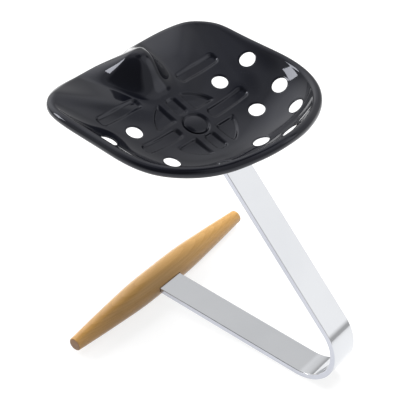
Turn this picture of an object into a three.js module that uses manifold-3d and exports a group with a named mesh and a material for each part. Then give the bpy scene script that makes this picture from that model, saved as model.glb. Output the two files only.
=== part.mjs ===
// A stool made of a pressed steel tractor seat on a cantilever strip of chromed spring steel, which stands on
// its own rear bend and on a turned beech footrest.
// Millimetres, +Z up. The origin is the middle of the footrest's underside, +X is the sitter's left and +Y
// points to the back of the seat.
import * as THREE from 'three';
import { mergeVertices } from 'three/addons/utils/BufferGeometryUtils.js';
import Module from 'manifold-3d';

const wasm = await Module();
wasm.setup();

// Fits
const fit_gap = 0.3;                // left between pieces that touch
const cut_overrun = 3;              // how far a cutter runs past the face that it cuts

// Stem: one flat strip, bent in the plane X = 0
const strip_width = 60;
const strip_thickness = 10.8;
const bend_inner_radius = 70;       // the big bend at the back
const bend_behind_foot = 355;       // from the footrest's middle to the centre of that bend
const lower_arm_rise = 2.9;         // degrees, upwards to the front
const pad_bend_inner_radius = 42;   // the bend below the pan
const pad_behind_bolt = 80;         // from the bolt to the corner of that bend
const pad_ahead_of_bolt = 42;       // how far the strip's upper end runs on past the bolt
const bend_steps = 18;

// Place and lie of the pan
const bolt_behind_foot = 94.5;
const seat_height = 433;            // the pan's middle, at the bolt, above the floor
const seat_slope = 16.2;            // degrees, down to the back
const seat_turn = 3.8;              // degrees, clockwise from above, that the pan stands turned on its bolt

// Pan: pressed sheet with a rolled edge, whose front rolls over the thighs' side and up to a pommel
const sheet_thickness = 2.5;
const pan_half_width = 197;         // to the brim, where the edge starts to roll, as are the next three
const pan_front_reach = 214;
const pan_back_reach = 170;
const back_height = 120;            // the back of the brim above the pan's flat middle
const thigh_crown = 4;              // how far the thigh hollows crown before they fall to the front
const roll_radius = 9.2;            // of the rolled edge's outer face
const front_roll_radius = 6;        // the same at the front
const roll_turn = 250;              // degrees, from the brim over and under
const lip_radius = 18;              // of the wider bend before the roll, where the front turns down
const lip_turn = 60;                // degrees
const pommel_height = 59.6;           // the crest above the hollows beside it
const pommel_start = 66.4;          // ahead of the bolt, as is the next
const pommel_top = 165.3;
const pommel_fall_share = 0.224;    // how much of its height the crest has lost at the brim
const pommel_fall_ease = 0.4;       // how softly that fall starts: 0 is at once
const pommel_inner_half_width = 43;   // where it starts
const pommel_front_half_width = 85;   // at the front reach
// The brim from the front round to the back: across and along as shares of half width and reach, height as a
// share of back_height, and the lip's share
const brim_shares = [
  [0.000, -0.857, -0.170, 1.0],
  [0.101, -0.903, -0.153, 1.0],
  [0.217, -0.970, -0.156, 1.0],
  [0.389, -0.992, -0.162, 1.0],
  [0.624, -0.965, -0.085, 1.0],
  [0.799, -0.892, 0.037, 0.8],
  [0.930, -0.805, 0.090, 0.4],
  [0.992, -0.659, 0.173, 0.1],
  [0.999, -0.455, 0.257, 0.0],
  [1.001, -0.172, 0.382, 0.0],
  [1.001, 0.100, 0.496, 0.0],
  [0.946, 0.393, 0.609, 0.0],
  [0.805, 0.643, 0.726, 0.0],
  [0.603, 0.820, 0.815, 0.0],
  [0.379, 0.927, 0.909, 0.0],
  [0.183, 0.982, 0.968, 0.0],
  [0.000, 1.000, 1.000, 0.0],
];
const flat_share = 0.245;                           // how much of the way from the bolt to the brim is flat
const wall_reach_share = 0.965;                     // how far along a quarter of an ellipse the wall goes
const wall_power = 2.1;                             // 2 is an ellipse, and more stays flat for longer
const front_power = 1.7;                            // how the front falls away instead
const ring_shares = [0.3, 0.42, 0.53, 0.62, 0.7, 0.77, 0.83, 0.88, 0.92, 0.955, 0.98, 1];
const steps_between_brim_rows = 2;
const brim_step_share = 0.01;                       // how far inside the brim its slope is taken
const roll_steps = 9;
const lip_steps = 2;                                // the first of them, which are wider at the front

// Pressed pattern: everything in it is sunk by the same depth
const press_depth = 4;
const wheel_radius = 72;
const fan_across = 29;              // from the middle to a fan's straight sides
const fan_along = 27;
const slot_width = 17;
const slot_corner_radius = 5;
const midline_slot_start = 32;
const midline_slot_end = 67;
const side_slot_start = 42;
const side_slot_end = 122;
const side_slot_ahead = 2;          // ahead of the bolt
const thigh_slot_start = 58;
const thigh_slot_end = 145;
const thigh_slot_ahead = 95;        // ahead of the bolt
const dimple_margin = 2;            // round the bolt's head, which lies in the dimple
const arc_steps = 6;
const corner_steps = 2;

// Drain holes: an inner ring on a circle, and an outer row that follows the edge: [across, along] as shares
const drain_hole_radius = 15.1;
const inner_ring_radius = 119;
const inner_ring_step = 45;         // degrees from one hole to the next
const inner_ring_half_count = 3;
const outer_hole_shares = [[0.898, -0.210], [0.853, 0.241], [0.701, 0.596], [0.360, 0.829]];

// Bolt and what is on it
const bolt_head_radius = 21;
const bolt_head_edge = 2;
const bolt_head_dome = 2;
const bolt_head_shares = [[1, 0], [0.9, 0.35], [0.6, 0.78], [0, 1]];   // radius and rise of the dome
const bolt_neck_side = 12;
const bolt_radius = 5;
const bolt_hole_clearance = 0.5;
const bolt_tail = 9;                // below the wing nut
const washer_radius = 12;
const washer_thickness = 2;
const spring_washer_radius = 9.5;
const spring_washer_thickness = 2.6;
const spring_washer_split = 2;
const nut_hub_radius = 9;
const nut_hub_end_radius = 7.5;
const nut_height = 10;
const nut_land = 4;                 // how much of its height the hub keeps its full radius
const wing_reach = 25;              // from the bolt's axis to a wing's tip
const wing_drop = 19;               // from the nut's seat to a wing's tip
const wing_tip_radius = 6;
const wing_root_top = 2;            // from the nut's seat to the wing's root
const wing_root_end = 8.5;
const wing_thickness = 4;
const wing_arc_start = 60;          // degrees, where the rounded tip leaves the outer flank
const wing_arc_end = -135;

// Footrest: a turned spindle with a flat underside
const foot_length = 490;
const foot_radius = 27.5;
const foot_below_share = 0.77;      // how much of that radius is left below its axis
const foot_radius_shares = [[0, 1], [0.14, 0.998], [0.28, 0.975], [0.42, 0.905], [0.56, 0.81], [0.72, 0.7],
  [0.86, 0.59], [1, 0.485]];        // shares of the half length and of the radius there
const foot_end_round = 2.5;
const foot_wall = 8;                // wood left in front of the strip's end
const screw_spacing = 34;
const screw_radius = 3;
const screw_bite = 8;               // how far a screw reaches past the strip into the wood
const screw_head_radius = 5.5;
const screw_head_height = 4;
const screw_sink = 2;               // from the underside to the head
const screw_slot_width = 1.2;
const screw_slot_depth = 1.4;

// How many flats stand for a round
const large_round = 32;
const middle_round = 24;
const small_round = 16;

// Finishes
const black_enamel = new THREE.MeshStandardMaterial({ color: 0x17181b, roughness: 0.12, metalness: 0 });
const chrome = new THREE.MeshStandardMaterial({ color: 0xc9cbd0, roughness: 0.08, metalness: 1 });
const zinc = new THREE.MeshStandardMaterial({ color: 0xa9abb0, roughness: 0.35, metalness: 1 });
const beech = new THREE.MeshStandardMaterial({ color: 0xc8924a, roughness: 0.35, metalness: 0 });

const radians = THREE.MathUtils.degToRad;

// A closed geometry as a solid, and a solid back as a geometry
function solid(geometry) {
  const bare = new THREE.BufferGeometry();
  bare.setAttribute('position', geometry.getAttribute('position'));
  if (geometry.index) bare.setIndex(geometry.index);
  const merged = mergeVertices(bare);
  return new wasm.Manifold(new wasm.Mesh({
    numProp: 3,
    vertProperties: new Float32Array(merged.getAttribute('position').array),
    triVerts: new Uint32Array(merged.index.array),
  }));
}

function geometryOf(manifold) {
  const mesh = manifold.getMesh();
  const geometry = new THREE.BufferGeometry();
  geometry.setAttribute('position', new THREE.BufferAttribute(new Float32Array(mesh.vertProperties), 3));
  geometry.setIndex(new THREE.BufferAttribute(new Uint32Array(mesh.triVerts), 1));
  geometry.computeVertexNormals();
  return geometry;
}

function meshOf(points, triangles) {
  const geometry = new THREE.BufferGeometry();
  const places = points.flatMap((point) => point.toArray());
  geometry.setAttribute('position', new THREE.Float32BufferAttribute(places, 3));
  geometry.setIndex(triangles.flat());
  return geometry;
}

function piece(name, geometry, material) {
  const mesh = new THREE.Mesh(geometry, material);
  mesh.name = name;
  return mesh;
}

// An upright cylinder from low to high
function rod(radius, low, high, sides, across = 0) {
  const geometry = new THREE.CylinderGeometry(radius, radius, high - low, sides);
  geometry.rotateX(Math.PI / 2);
  geometry.translate(across, 0, (low + high) / 2);
  return geometry;
}

// An upright block from low to high
function block(across, along, low, high) {
  const geometry = new THREE.BoxGeometry(across, along, high - low);
  geometry.translate(0, 0, (low + high) / 2);
  return geometry;
}

// A solid turned about Z from [radius, height] points that start and end on the axis, lowest first
function turned(points, sides) {
  const profile = points.map(([radius, height]) => new THREE.Vector2(radius, height));
  const geometry = new THREE.LatheGeometry(profile, sides);
  geometry.rotateX(Math.PI / 2);
  return geometry;
}

// An upright prism from low to high over an outline
function prism(outline, low, high) {
  const depth = high - low;
  const geometry = new THREE.ExtrudeGeometry(new THREE.Shape(outline), { depth, bevelEnabled: false });
  geometry.translate(0, 0, low);
  return geometry;
}

// A side profile drawn as (y, z), as wide as width across the middle
function acrossStrip(shape, width) {
  const settings = { depth: width, bevelEnabled: false, curveSegments: bend_steps };
  const geometry = new THREE.ExtrudeGeometry(shape, settings);
  geometry.translate(0, 0, -width / 2);
  const y = new THREE.Vector3(0, 1, 0);
  const z = new THREE.Vector3(0, 0, 1);
  const x = new THREE.Vector3(1, 0, 0);
  geometry.applyMatrix4(new THREE.Matrix4().makeBasis(y, z, x));
  return geometry;
}

// Directions in the stem's plane, as (y, z): along a slope to the front, and square to it upwards
function forward(slope) {
  return new THREE.Vector2(-Math.cos(radians(slope)), Math.sin(radians(slope)));
}

function upward(slope) {
  return new THREE.Vector2(Math.sin(radians(slope)), Math.cos(radians(slope)));
}

function from(start, direction, length) {
  return start.clone().addScaledVector(direction, length);
}

const bend_outer_radius = bend_inner_radius + strip_thickness;
const bend_centre = new THREE.Vector2(bend_behind_foot, bend_outer_radius);
const pan_middle = new THREE.Vector2(bolt_behind_foot, seat_height);
const seat_stack = press_depth + sheet_thickness + fit_gap;      // from the pan's middle down to the strip
const pad_forward = forward(seat_slope);
const pad_up = upward(seat_slope);
const under_pan = from(pan_middle, pad_up, -seat_stack);
// where the outer faces of the upper arm and the pad would meet
const pad_corner = from(under_pan, pad_forward, -pad_behind_bolt);
const strip_end_ahead = foot_radius - foot_wall;                 // ahead of the foot's axis
const lower_down = upward(lower_arm_rise).negate();
const lower_forward = forward(lower_arm_rise);
const lower_start = from(bend_centre, lower_down, bend_outer_radius);
const lower_length = (lower_start.x + strip_end_ahead) / -lower_forward.x;
// the strip's underside at the foot's axis
const strip_above_floor = lower_start.y + lower_start.x * Math.tan(radians(lower_arm_rise));

// What is made at the pan's middle, upright, lies in this group
const seat = new THREE.Group();
seat.rotation.set(-radians(seat_slope), 0, -radians(seat_turn));
seat.position.set(0, pan_middle.x, pan_middle.y);
seat.updateMatrix();

// The upper arm's slope, in degrees above level: its outer face runs from that corner round the big bend
function upperArmSlope() {
  const to_bend = bend_centre.clone().sub(pad_corner);
  const off = Math.asin(bend_outer_radius / to_bend.length());
  return THREE.MathUtils.radToDeg(Math.atan2(-to_bend.y, to_bend.x) - off);
}

// The strip's side profile: outer face from the foot round to the pad, then the inner face back
function stripProfile() {
  const upper_arm_slope = upperArmSlope();
  const arm_forward = forward(upper_arm_slope);
  const arm_up = upward(upper_arm_slope);
  const pad_outer_radius = pad_bend_inner_radius + strip_thickness;
  const tangent = pad_outer_radius * Math.tan(radians(upper_arm_slope - seat_slope) / 2);
  const pad_centre = from(from(pad_corner, arm_forward, -tangent), arm_up, -pad_outer_radius);
  const front_end = from(lower_start, lower_forward, lower_length);
  const pad_end = from(under_pan, pad_forward, pad_ahead_of_bolt);
  const pad_end_below = from(pad_end, pad_up, -strip_thickness);
  const front_end_above = from(front_end, lower_down, -strip_thickness);
  const bottom = -Math.PI / 2;
  const arm_angle = arm_up.angle();
  const pad_angle = pad_up.angle();
  const shape = new THREE.Shape();
  shape.moveTo(front_end.x, front_end.y);
  shape.lineTo(lower_start.x, lower_start.y);
  shape.absarc(bend_centre.x, bend_centre.y, bend_outer_radius, bottom, arm_angle, false);
  shape.absarc(pad_centre.x, pad_centre.y, pad_outer_radius, arm_angle, pad_angle, false);
  shape.lineTo(pad_end.x, pad_end.y);
  shape.lineTo(pad_end_below.x, pad_end_below.y);
  shape.absarc(pad_centre.x, pad_centre.y, pad_bend_inner_radius, pad_angle, arm_angle, true);
  const lower_angle = bottom - radians(lower_arm_rise);
  shape.absarc(bend_centre.x, bend_centre.y, bend_inner_radius, arm_angle, lower_angle, true);
  shape.lineTo(front_end_above.x, front_end_above.y);
  return shape;
}

function stem() {
  let strip = solid(acrossStrip(stripProfile(), strip_width));
  const bolt_hole = rod(bolt_radius + bolt_hole_clearance, -seat_stack - strip_thickness - cut_overrun,
    -seat_stack + cut_overrun, middle_round);
  strip = strip.subtract(solid(bolt_hole.applyMatrix4(seat.matrix)));
  for (const side of [-1, 1]) {
    const screw_hole = rod(screw_radius + fit_gap, 0, 2 * foot_radius, small_round, side * screw_spacing / 2);
    strip = strip.subtract(solid(screw_hole));
  }
  return geometryOf(strip);
}

// Half of the brim in real sizes, then its mirror image: [across, along, base height, lip share]
function brimRows() {
  const half = brim_shares.map(([side, length, height, lip]) => [
    side * pan_half_width,
    length * (length < 0 ? pan_front_reach : pan_back_reach),
    height * back_height,
    lip,
  ]);
  const other = half.slice(1, -1).reverse().map(([side, ...rest]) => [-side, ...rest]);
  return [...half, ...other];
}

// Smooth values between the rows, at each step round the brim
function brimStations() {
  const rows = brimRows();
  const place = new THREE.CatmullRomCurve3(rows.map(([x, y, z]) => new THREE.Vector3(x, y, z)), true);
  const count = rows.length * steps_between_brim_rows;
  return Array.from({ length: count }, (_, index) => {
    const at = place.getPoint(index / count);
    const row = Math.floor(index / steps_between_brim_rows);
    const mix = index / steps_between_brim_rows - row;
    const lip = THREE.MathUtils.lerp(rows[row][3], rows[(row + 1) % rows.length][3], mix);
    return { x: at.x, y: at.y, base: at.z, lip };
  });
}

const stations = brimStations();

// The pommel's height over any place: its crest rises and falls to the front and fades to both sides
function pommelAt(x, y) {
  const ahead = -y;
  if (ahead <= pommel_start) return 0;
  const rise = THREE.MathUtils.smootherstep(ahead, pommel_start, pommel_top);
  const brim_ahead = -brim_shares[0][1] * pan_front_reach;
  const past_top = Math.max(0, ahead - pommel_top) / (brim_ahead - pommel_top);
  const eased = past_top * past_top * (1 + pommel_fall_ease) / (past_top + pommel_fall_ease);
  const fall = pommel_fall_share * eased;
  const half_width = THREE.MathUtils.mapLinear(ahead, pommel_start, pan_front_reach,
    pommel_inner_half_width, pommel_front_half_width);
  const fade = Math.cos(Math.PI / 2 * Math.min(1, Math.abs(x) / half_width));
  return pommel_height * rise * (1 - fall) * fade * fade;
}

// How much of its height the wall has reached: an ellipse that ends just short of its upright side
function wallShare(way) {
  const rise = (reach) => 1 - Math.sqrt(1 - reach ** wall_power);
  return rise(wall_reach_share * way) / rise(wall_reach_share);
}

// A point of the pan's upper face, at a share of the way from the bolt to a station of the brim
function panPoint(station, share) {
  const x = station.x * share;
  const y = station.y * share;
  const way = Math.min(1, Math.max(0, (share - flat_share) / (1 - flat_share)));
  const curve = THREE.MathUtils.lerp(wallShare(way), way ** front_power, station.lip);
  const crown = station.lip * thigh_crown * Math.sin(Math.PI * way);
  return new THREE.Vector3(x, y, station.base * curve + crown + pommelAt(x, y));
}

// The rolled edge from a station of the brim outwards, in the plane square to the brim
function rollPoints(column) {
  const count = stations.length;
  const station = stations[column];
  const [behind, brim, ahead] = [column + count - 1, column, column + 1]
    .map((index) => panPoint(stations[index % count], 1));
  const along = ahead.sub(behind).normalize();
  const out = new THREE.Vector3(along.y, -along.x, 0).normalize();
  const up = out.clone().cross(along);
  const wall = brim.clone().sub(panPoint(station, 1 - brim_step_share));
  const square = wall.addScaledVector(along, -wall.dot(along));
  const radius = THREE.MathUtils.lerp(roll_radius, front_roll_radius, station.lip);
  const first_radius = THREE.MathUtils.lerp(radius, lip_radius, station.lip);
  const turn = radians(roll_turn + lip_turn * station.lip) / roll_steps;
  const place = brim.clone();
  let slope = Math.atan2(square.dot(up), square.dot(out));
  return Array.from({ length: roll_steps }, (_, step) => {
    const bend = step < lip_steps ? first_radius : radius;
    const next_slope = slope - turn;
    place.addScaledVector(out, bend * (Math.sin(slope) - Math.sin(next_slope)));
    place.addScaledVector(up, bend * (Math.cos(next_slope) - Math.cos(slope)));
    slope = next_slope;
    return place.clone();
  });
}

// Height of the upper face over any place on the pan
function heightAt(x, y) {
  const turn = 2 * Math.PI;
  const shortest = (angle) => angle - turn * Math.round(angle / turn);
  const angle = Math.atan2(y, x);
  const angles = stations.map((station) => Math.atan2(station.y, station.x));
  const offsets = angles.map((start) => shortest(angle - start));
  const sweeps = angles.map((start, index) => shortest(angles[(index + 1) % angles.length] - start));
  const holds = (offset, i) => offset * sweeps[i] >= 0 && Math.abs(offset) <= Math.abs(sweeps[i]);
  const index = offsets.findIndex(holds);
  const mix = offsets[index] / sweeps[index];
  const one = stations[index];
  const two = stations[(index + 1) % stations.length];
  const between = {
    x: THREE.MathUtils.lerp(one.x, two.x, mix),
    y: THREE.MathUtils.lerp(one.y, two.y, mix),
    base: THREE.MathUtils.lerp(one.base, two.base, mix),
    lip: THREE.MathUtils.lerp(one.lip, two.lip, mix),
  };
  return panPoint(between, Math.hypot(x, y) / Math.hypot(between.x, between.y)).z;
}

function normalAt(x, y) {
  const step = sheet_thickness;
  const slope_x = (heightAt(x + step, y) - heightAt(x - step, y)) / (2 * step);
  const slope_y = (heightAt(x, y + step) - heightAt(x, y - step)) / (2 * step);
  return new THREE.Vector3(-slope_x, -slope_y, 1).normalize();
}

// The space between two distances over the pan's upper face, with more rings beyond the brim if there are any
function sheetGeometry(high, low, edge_rings = []) {
  const columns = stations.length;
  const pan_rings = ring_shares.map((share) => stations.map((station) => panPoint(station, share)));
  const rings = [...pan_rings, ...edge_rings];
  const face = [new THREE.Vector3(), ...rings.flat()];
  const at = (ring, column) => 1 + ring * columns + (column % columns);
  const triangles = [];
  for (let column = 0; column < columns; column += 1) {
    triangles.push([0, at(0, column), at(0, column + 1)]);
    for (let ring = 0; ring + 1 < rings.length; ring += 1) {
      triangles.push([at(ring, column), at(ring + 1, column), at(ring + 1, column + 1)]);
      triangles.push([at(ring, column), at(ring + 1, column + 1), at(ring, column + 1)]);
    }
  }
  const shift = face.length;
  const under = triangles.map(([a, b, c]) => [a + shift, c + shift, b + shift]);
  const edge = [];
  for (let column = 0; column < columns; column += 1) {
    const a = at(rings.length - 1, column);
    const b = at(rings.length - 1, column + 1);
    edge.push([a, a + shift, b + shift], [a, b + shift, b]);
  }
  const skin = meshOf(face, triangles);
  skin.computeVertexNormals();
  const normal = skin.getAttribute('normal');
  const normals = face.map((_, index) => new THREE.Vector3().fromBufferAttribute(normal, index));
  const raised = (distance) => face.map((point, i) => point.clone().addScaledVector(normals[i], distance));
  return meshOf([...raised(high), ...raised(low)], [...triangles, ...under, ...edge]);
}

// Points of an arc about a centre, in degrees
function arcPoints(x, y, radius, start, end, steps) {
  return Array.from({ length: steps + 1 }, (_, step) => {
    const angle = radians(THREE.MathUtils.lerp(start, end, step / steps));
    return new THREE.Vector2(x + radius * Math.cos(angle), y + radius * Math.sin(angle));
  });
}

// A slot with round corners from start to end along X, grown by a margin
function slotOutline(start, end, margin) {
  const radius = slot_corner_radius + margin;
  const half_width = slot_width / 2 + margin - radius;
  const right = end + margin - radius;
  const left = start - margin + radius;
  return [
    ...arcPoints(right, half_width, radius, 0, 90, corner_steps),
    ...arcPoints(left, half_width, radius, 90, 180, corner_steps),
    ...arcPoints(left, -half_width, radius, 180, 270, corner_steps),
    ...arcPoints(right, -half_width, radius, 270, 360, corner_steps),
  ];
}

// A quarter of the wheel, grown by a margin: two straight sides and an arc
function fanOutline(margin) {
  const radius = wheel_radius + margin;
  const side = fan_across - margin;
  const length = fan_along - margin;
  const start = THREE.MathUtils.radToDeg(Math.asin(length / radius));
  const end = THREE.MathUtils.radToDeg(Math.acos(side / radius));
  return [new THREE.Vector2(side, length), ...arcPoints(0, 0, radius, start, end, arc_steps)];
}

// Outline points mirrored across either middle line, still counterclockwise
function mirrored(points, flip_x, flip_y) {
  const flipped = points.map((point) => new THREE.Vector2(point.x * flip_x, point.y * flip_y));
  return flip_x * flip_y < 0 ? flipped.reverse() : flipped;
}

// The outlines of every pressed place, grown by a margin
function pressedOutlines(margin) {
  const midline_slot = slotOutline(midline_slot_start, midline_slot_end, margin)
    .map((point) => new THREE.Vector2(-point.y, point.x));
  const side_slot = slotOutline(side_slot_start, side_slot_end, margin)
    .map((point) => new THREE.Vector2(point.x, point.y - side_slot_ahead));
  const thigh_slot = slotOutline(thigh_slot_start, thigh_slot_end, margin)
    .map((point) => new THREE.Vector2(point.x, point.y - thigh_slot_ahead));
  const fan = fanOutline(margin);
  return [-1, 1].flatMap((flip) => [
    mirrored(midline_slot, 1, flip),
    mirrored(side_slot, flip, 1),
    mirrored(thigh_slot, flip, 1),
    mirrored(fan, flip, -1),
    mirrored(fan, flip, 1),
  ]);
}

function drainHolePlaces() {
  const ring = Array.from({ length: inner_ring_half_count }, (_, index) => {
    const angle = radians(inner_ring_step * index - inner_ring_step / 2);
    return [inner_ring_radius * Math.cos(angle), inner_ring_radius * Math.sin(angle)];
  });
  const row = outer_hole_shares.map(([side, length]) => [
    side * pan_half_width,
    length * (length < 0 ? pan_front_reach : pan_back_reach),
  ]);
  return [...ring, ...row].flatMap(([x, y]) => [[x, y], [-x, y]]);
}

function seatPan() {
  const tray_bottom = -press_depth - sheet_thickness;
  const inside_sheet = -sheet_thickness / 2;
  const columns = (margin) => pressedOutlines(margin)
    .map((outline) => solid(prism(outline, -back_height, back_height)))
    .reduce((sum, column) => sum.add(column));
  // the dimple is level all over, because the bolt's head seats in it
  const dimple_radius = bolt_head_radius + dimple_margin;
  const dimple_tray = rod(dimple_radius + sheet_thickness, tray_bottom, inside_sheet, large_round);
  const dimple_hollow = rod(dimple_radius, -press_depth, cut_overrun, large_round);
  const trays = solid(sheetGeometry(inside_sheet, tray_bottom)).intersect(columns(sheet_thickness))
    .add(solid(dimple_tray));
  const hollows = solid(sheetGeometry(cut_overrun, -press_depth)).intersect(columns(0))
    .add(solid(dimple_hollow));
  const rolls = stations.map((_, column) => rollPoints(column));
  const edge_rings = Array.from({ length: roll_steps }, (_, step) => rolls.map((points) => points[step]));
  let pan = solid(sheetGeometry(0, -sheet_thickness, edge_rings)).add(trays).subtract(hollows);
  const neck_hole = bolt_neck_side + 2 * fit_gap;
  pan = pan.subtract(solid(block(neck_hole, neck_hole, tray_bottom - cut_overrun, cut_overrun)));
  const upright = new THREE.Vector3(0, 0, 1);
  for (const [x, y] of drainHolePlaces()) {
    const reach = drain_hole_radius;
    const punch = rod(drain_hole_radius, -reach, reach, small_round);
    punch.applyQuaternion(new THREE.Quaternion().setFromUnitVectors(upright, normalAt(x, y)));
    punch.translate(x, y, heightAt(x, y) + inside_sheet);
    pan = pan.subtract(solid(punch));
  }
  return geometryOf(pan);
}

// Heights below the pan's middle of what is stacked on the bolt
const head_floor = fit_gap - press_depth;
const strip_underside = -seat_stack - strip_thickness;
const washer_top = strip_underside - fit_gap;
const washer_bottom = washer_top - washer_thickness;
const spring_top = washer_bottom - fit_gap;
const spring_bottom = spring_top - spring_washer_thickness;
const nut_top = spring_bottom - fit_gap;
const nut_bottom = nut_top - nut_height;

function seatBolt() {
  const edge = head_floor + bolt_head_edge;
  const dome = bolt_head_shares.map(([radius, rise]) => [
    radius * bolt_head_radius,
    edge + rise * bolt_head_dome,
  ]);
  const head = turned([[0, head_floor], [bolt_head_radius, head_floor], ...dome], large_round);
  const neck = block(bolt_neck_side, bolt_neck_side, -press_depth - sheet_thickness, edge);
  const shank = rod(bolt_radius, nut_bottom - bolt_tail, head_floor + bolt_head_edge, middle_round);
  return geometryOf(solid(head).add(solid(neck)).add(solid(shank)));
}

// A flat ring round the bolt, open in one place if it is split
function ring(radius, low, high, split = 0) {
  const bore = rod(bolt_radius + bolt_hole_clearance, low - cut_overrun, high + cut_overrun, middle_round);
  let washer = solid(rod(radius, low, high, large_round)).subtract(solid(bore));
  if (split > 0) {
    const gap = block(split, 2 * radius, low - cut_overrun, high + cut_overrun);
    gap.translate(0, radius, 0);
    washer = washer.subtract(solid(gap));
  }
  return geometryOf(washer);
}

// A hub with two wings, which point down the bolt away from the strip
function wingNut() {
  const hub = turned([
    [0, nut_bottom],
    [nut_hub_end_radius, nut_bottom],
    [nut_hub_radius, nut_top - nut_land],
    [nut_hub_radius, nut_top],
    [0, nut_top],
  ], large_round);
  const tip = arcPoints(wing_reach - wing_tip_radius, wing_tip_radius - wing_drop, wing_tip_radius,
    wing_arc_start, wing_arc_end, arc_steps);
  const outline = new THREE.Shape([
    new THREE.Vector2(nut_hub_end_radius, -wing_root_top),
    ...tip,
    new THREE.Vector2(nut_hub_end_radius, -wing_root_end),
  ].reverse());
  let nut = solid(hub);
  for (const turn of [0, Math.PI]) {
    const wing = new THREE.ExtrudeGeometry(outline, { depth: wing_thickness, bevelEnabled: false });
    wing.translate(0, nut_top, -wing_thickness / 2);
    wing.rotateX(Math.PI / 2);
    wing.rotateZ(turn);
    nut = nut.add(solid(wing));
  }
  const bore = rod(bolt_radius + fit_gap, nut_bottom - cut_overrun, nut_top + cut_overrun, middle_round);
  return geometryOf(nut.subtract(solid(bore)));
}

const foot_axis_height = foot_radius * foot_below_share;
const screw_tip = strip_above_floor + strip_thickness + screw_bite;

// The slot that the strip goes into, open at the back of the footrest
function mortise() {
  const floor = from(lower_start, lower_down, fit_gap);
  const start = from(floor, lower_forward, lower_length / 2);
  const end = from(floor, lower_forward, lower_length + fit_gap);
  const height = strip_thickness + 2 * fit_gap;
  const outline = [end, start, from(start, lower_down, -height), from(end, lower_down, -height)];
  return acrossStrip(new THREE.Shape(outline), strip_width + 2 * fit_gap);
}

function footrest() {
  const half = foot_length / 2;
  const right = foot_radius_shares.map(([place, radius]) => [radius * foot_radius, place * half]);
  const end_radius = right[right.length - 1][0];
  right[right.length - 1][1] -= foot_end_round;
  const left = right.slice(1).reverse().map(([radius, place]) => [radius, -place]);
  const inner_end_radius = end_radius - foot_end_round;
  const near_end = [[0, -half], [inner_end_radius, -half]];
  const far_end = [[inner_end_radius, half], [0, half]];
  const spindle = turned([...near_end, ...left, ...right, ...far_end], large_round);
  spindle.rotateY(Math.PI / 2);
  spindle.translate(0, 0, foot_axis_height);
  const below = block(2 * foot_length, 2 * foot_length, -foot_length, 0);
  let wood = solid(spindle).subtract(solid(below)).subtract(solid(mortise()));
  for (const side of [-1, 1]) {
    const x = side * screw_spacing / 2;
    const head_top = screw_sink + screw_head_height;
    const shank = rod(screw_radius + fit_gap, -cut_overrun, screw_tip + fit_gap, small_round, x);
    const head = rod(screw_head_radius + fit_gap, -cut_overrun, head_top + fit_gap, small_round, x);
    wood = wood.subtract(solid(shank)).subtract(solid(head));
  }
  return geometryOf(wood);
}

// A slotted screw that comes up from below through the strip into the wood above it
function footScrew(side) {
  const x = side * screw_spacing / 2;
  const head_middle = screw_sink + screw_head_height / 2;
  const head = solid(rod(screw_head_radius, screw_sink, screw_sink + screw_head_height, small_round, x));
  const shank = solid(rod(screw_radius, head_middle, screw_tip, small_round, x));
  const slot = block(screw_slot_width, 2 * screw_head_radius + cut_overrun, 0, screw_sink + screw_slot_depth);
  slot.translate(x, 0, 0);
  return geometryOf(head.add(shank).subtract(solid(slot)));
}

const stool = new THREE.Group();
stool.add(piece('stem', stem(), chrome));
stool.add(piece('footrest', footrest(), beech));
stool.add(piece('footrest_screw_left', footScrew(1), zinc));
stool.add(piece('footrest_screw_right', footScrew(-1), zinc));
stool.add(seat);
seat.add(piece('seat_pan', seatPan(), black_enamel));
seat.add(piece('seat_bolt', seatBolt(), black_enamel));
seat.add(piece('flat_washer', ring(washer_radius, washer_bottom, washer_top), zinc));
const open_ring = ring(spring_washer_radius, spring_bottom, spring_top, spring_washer_split);
seat.add(piece('spring_washer', open_ring, zinc));
seat.add(piece('wing_nut', wingNut(), zinc));

export default stool;
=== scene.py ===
"""Dresses the tractor seat stool: an enamelled pressed pan on a bent chromed strip, with a turned footrest.

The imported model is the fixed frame. Everything is in metres in that frame: +Z up, +X to the sitter's left, +Y to
the back, and the origin under the middle of the footrest. Each piece rides on one of the frame's bodies.
"""
import logging
import math
from dataclasses import dataclass, field
from enum import Enum
from typing import Callable, Sequence

import bpy
import numpy as np
from mathutils import Matrix, Vector


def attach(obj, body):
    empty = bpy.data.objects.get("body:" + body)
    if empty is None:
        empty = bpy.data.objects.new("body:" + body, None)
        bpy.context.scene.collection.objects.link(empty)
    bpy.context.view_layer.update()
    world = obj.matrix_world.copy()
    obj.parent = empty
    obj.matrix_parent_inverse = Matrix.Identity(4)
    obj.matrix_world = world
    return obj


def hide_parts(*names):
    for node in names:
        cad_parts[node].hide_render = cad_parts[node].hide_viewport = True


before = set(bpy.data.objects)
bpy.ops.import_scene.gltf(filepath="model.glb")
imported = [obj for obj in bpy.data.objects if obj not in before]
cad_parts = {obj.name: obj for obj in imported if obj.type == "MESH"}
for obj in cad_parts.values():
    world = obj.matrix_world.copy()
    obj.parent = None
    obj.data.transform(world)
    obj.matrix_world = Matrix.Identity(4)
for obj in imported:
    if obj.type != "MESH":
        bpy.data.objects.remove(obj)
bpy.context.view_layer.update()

log = logging.getLogger("tractor_seat_stool")

FULL_TURN = 2 * math.pi
CUT_OVERRUN = 0.003     # how far a cutter runs past the face that it cuts
AXIS_RING = 0.001       # radius of the innermost ring on a turned end

Colour = tuple[float, float, float]
Place = tuple[float, float, float]
Span = tuple[float, float]
Point = tuple[float, float]
Profile = list[Point]
BrimRow = tuple[float, float, float, float]
Run = tuple[list[np.ndarray], list[np.ndarray]]
Flute = Callable[[np.ndarray, np.ndarray, np.ndarray], np.ndarray]
Socket = bpy.types.NodeSocket
Constant = float | Sequence[float]


class Body(Enum):
    """The frame's bodies."""

    BASE = "base"
    SEAT = "seat"
    WASHERS = "washers"
    WING_NUT = "wing_nut"


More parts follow.
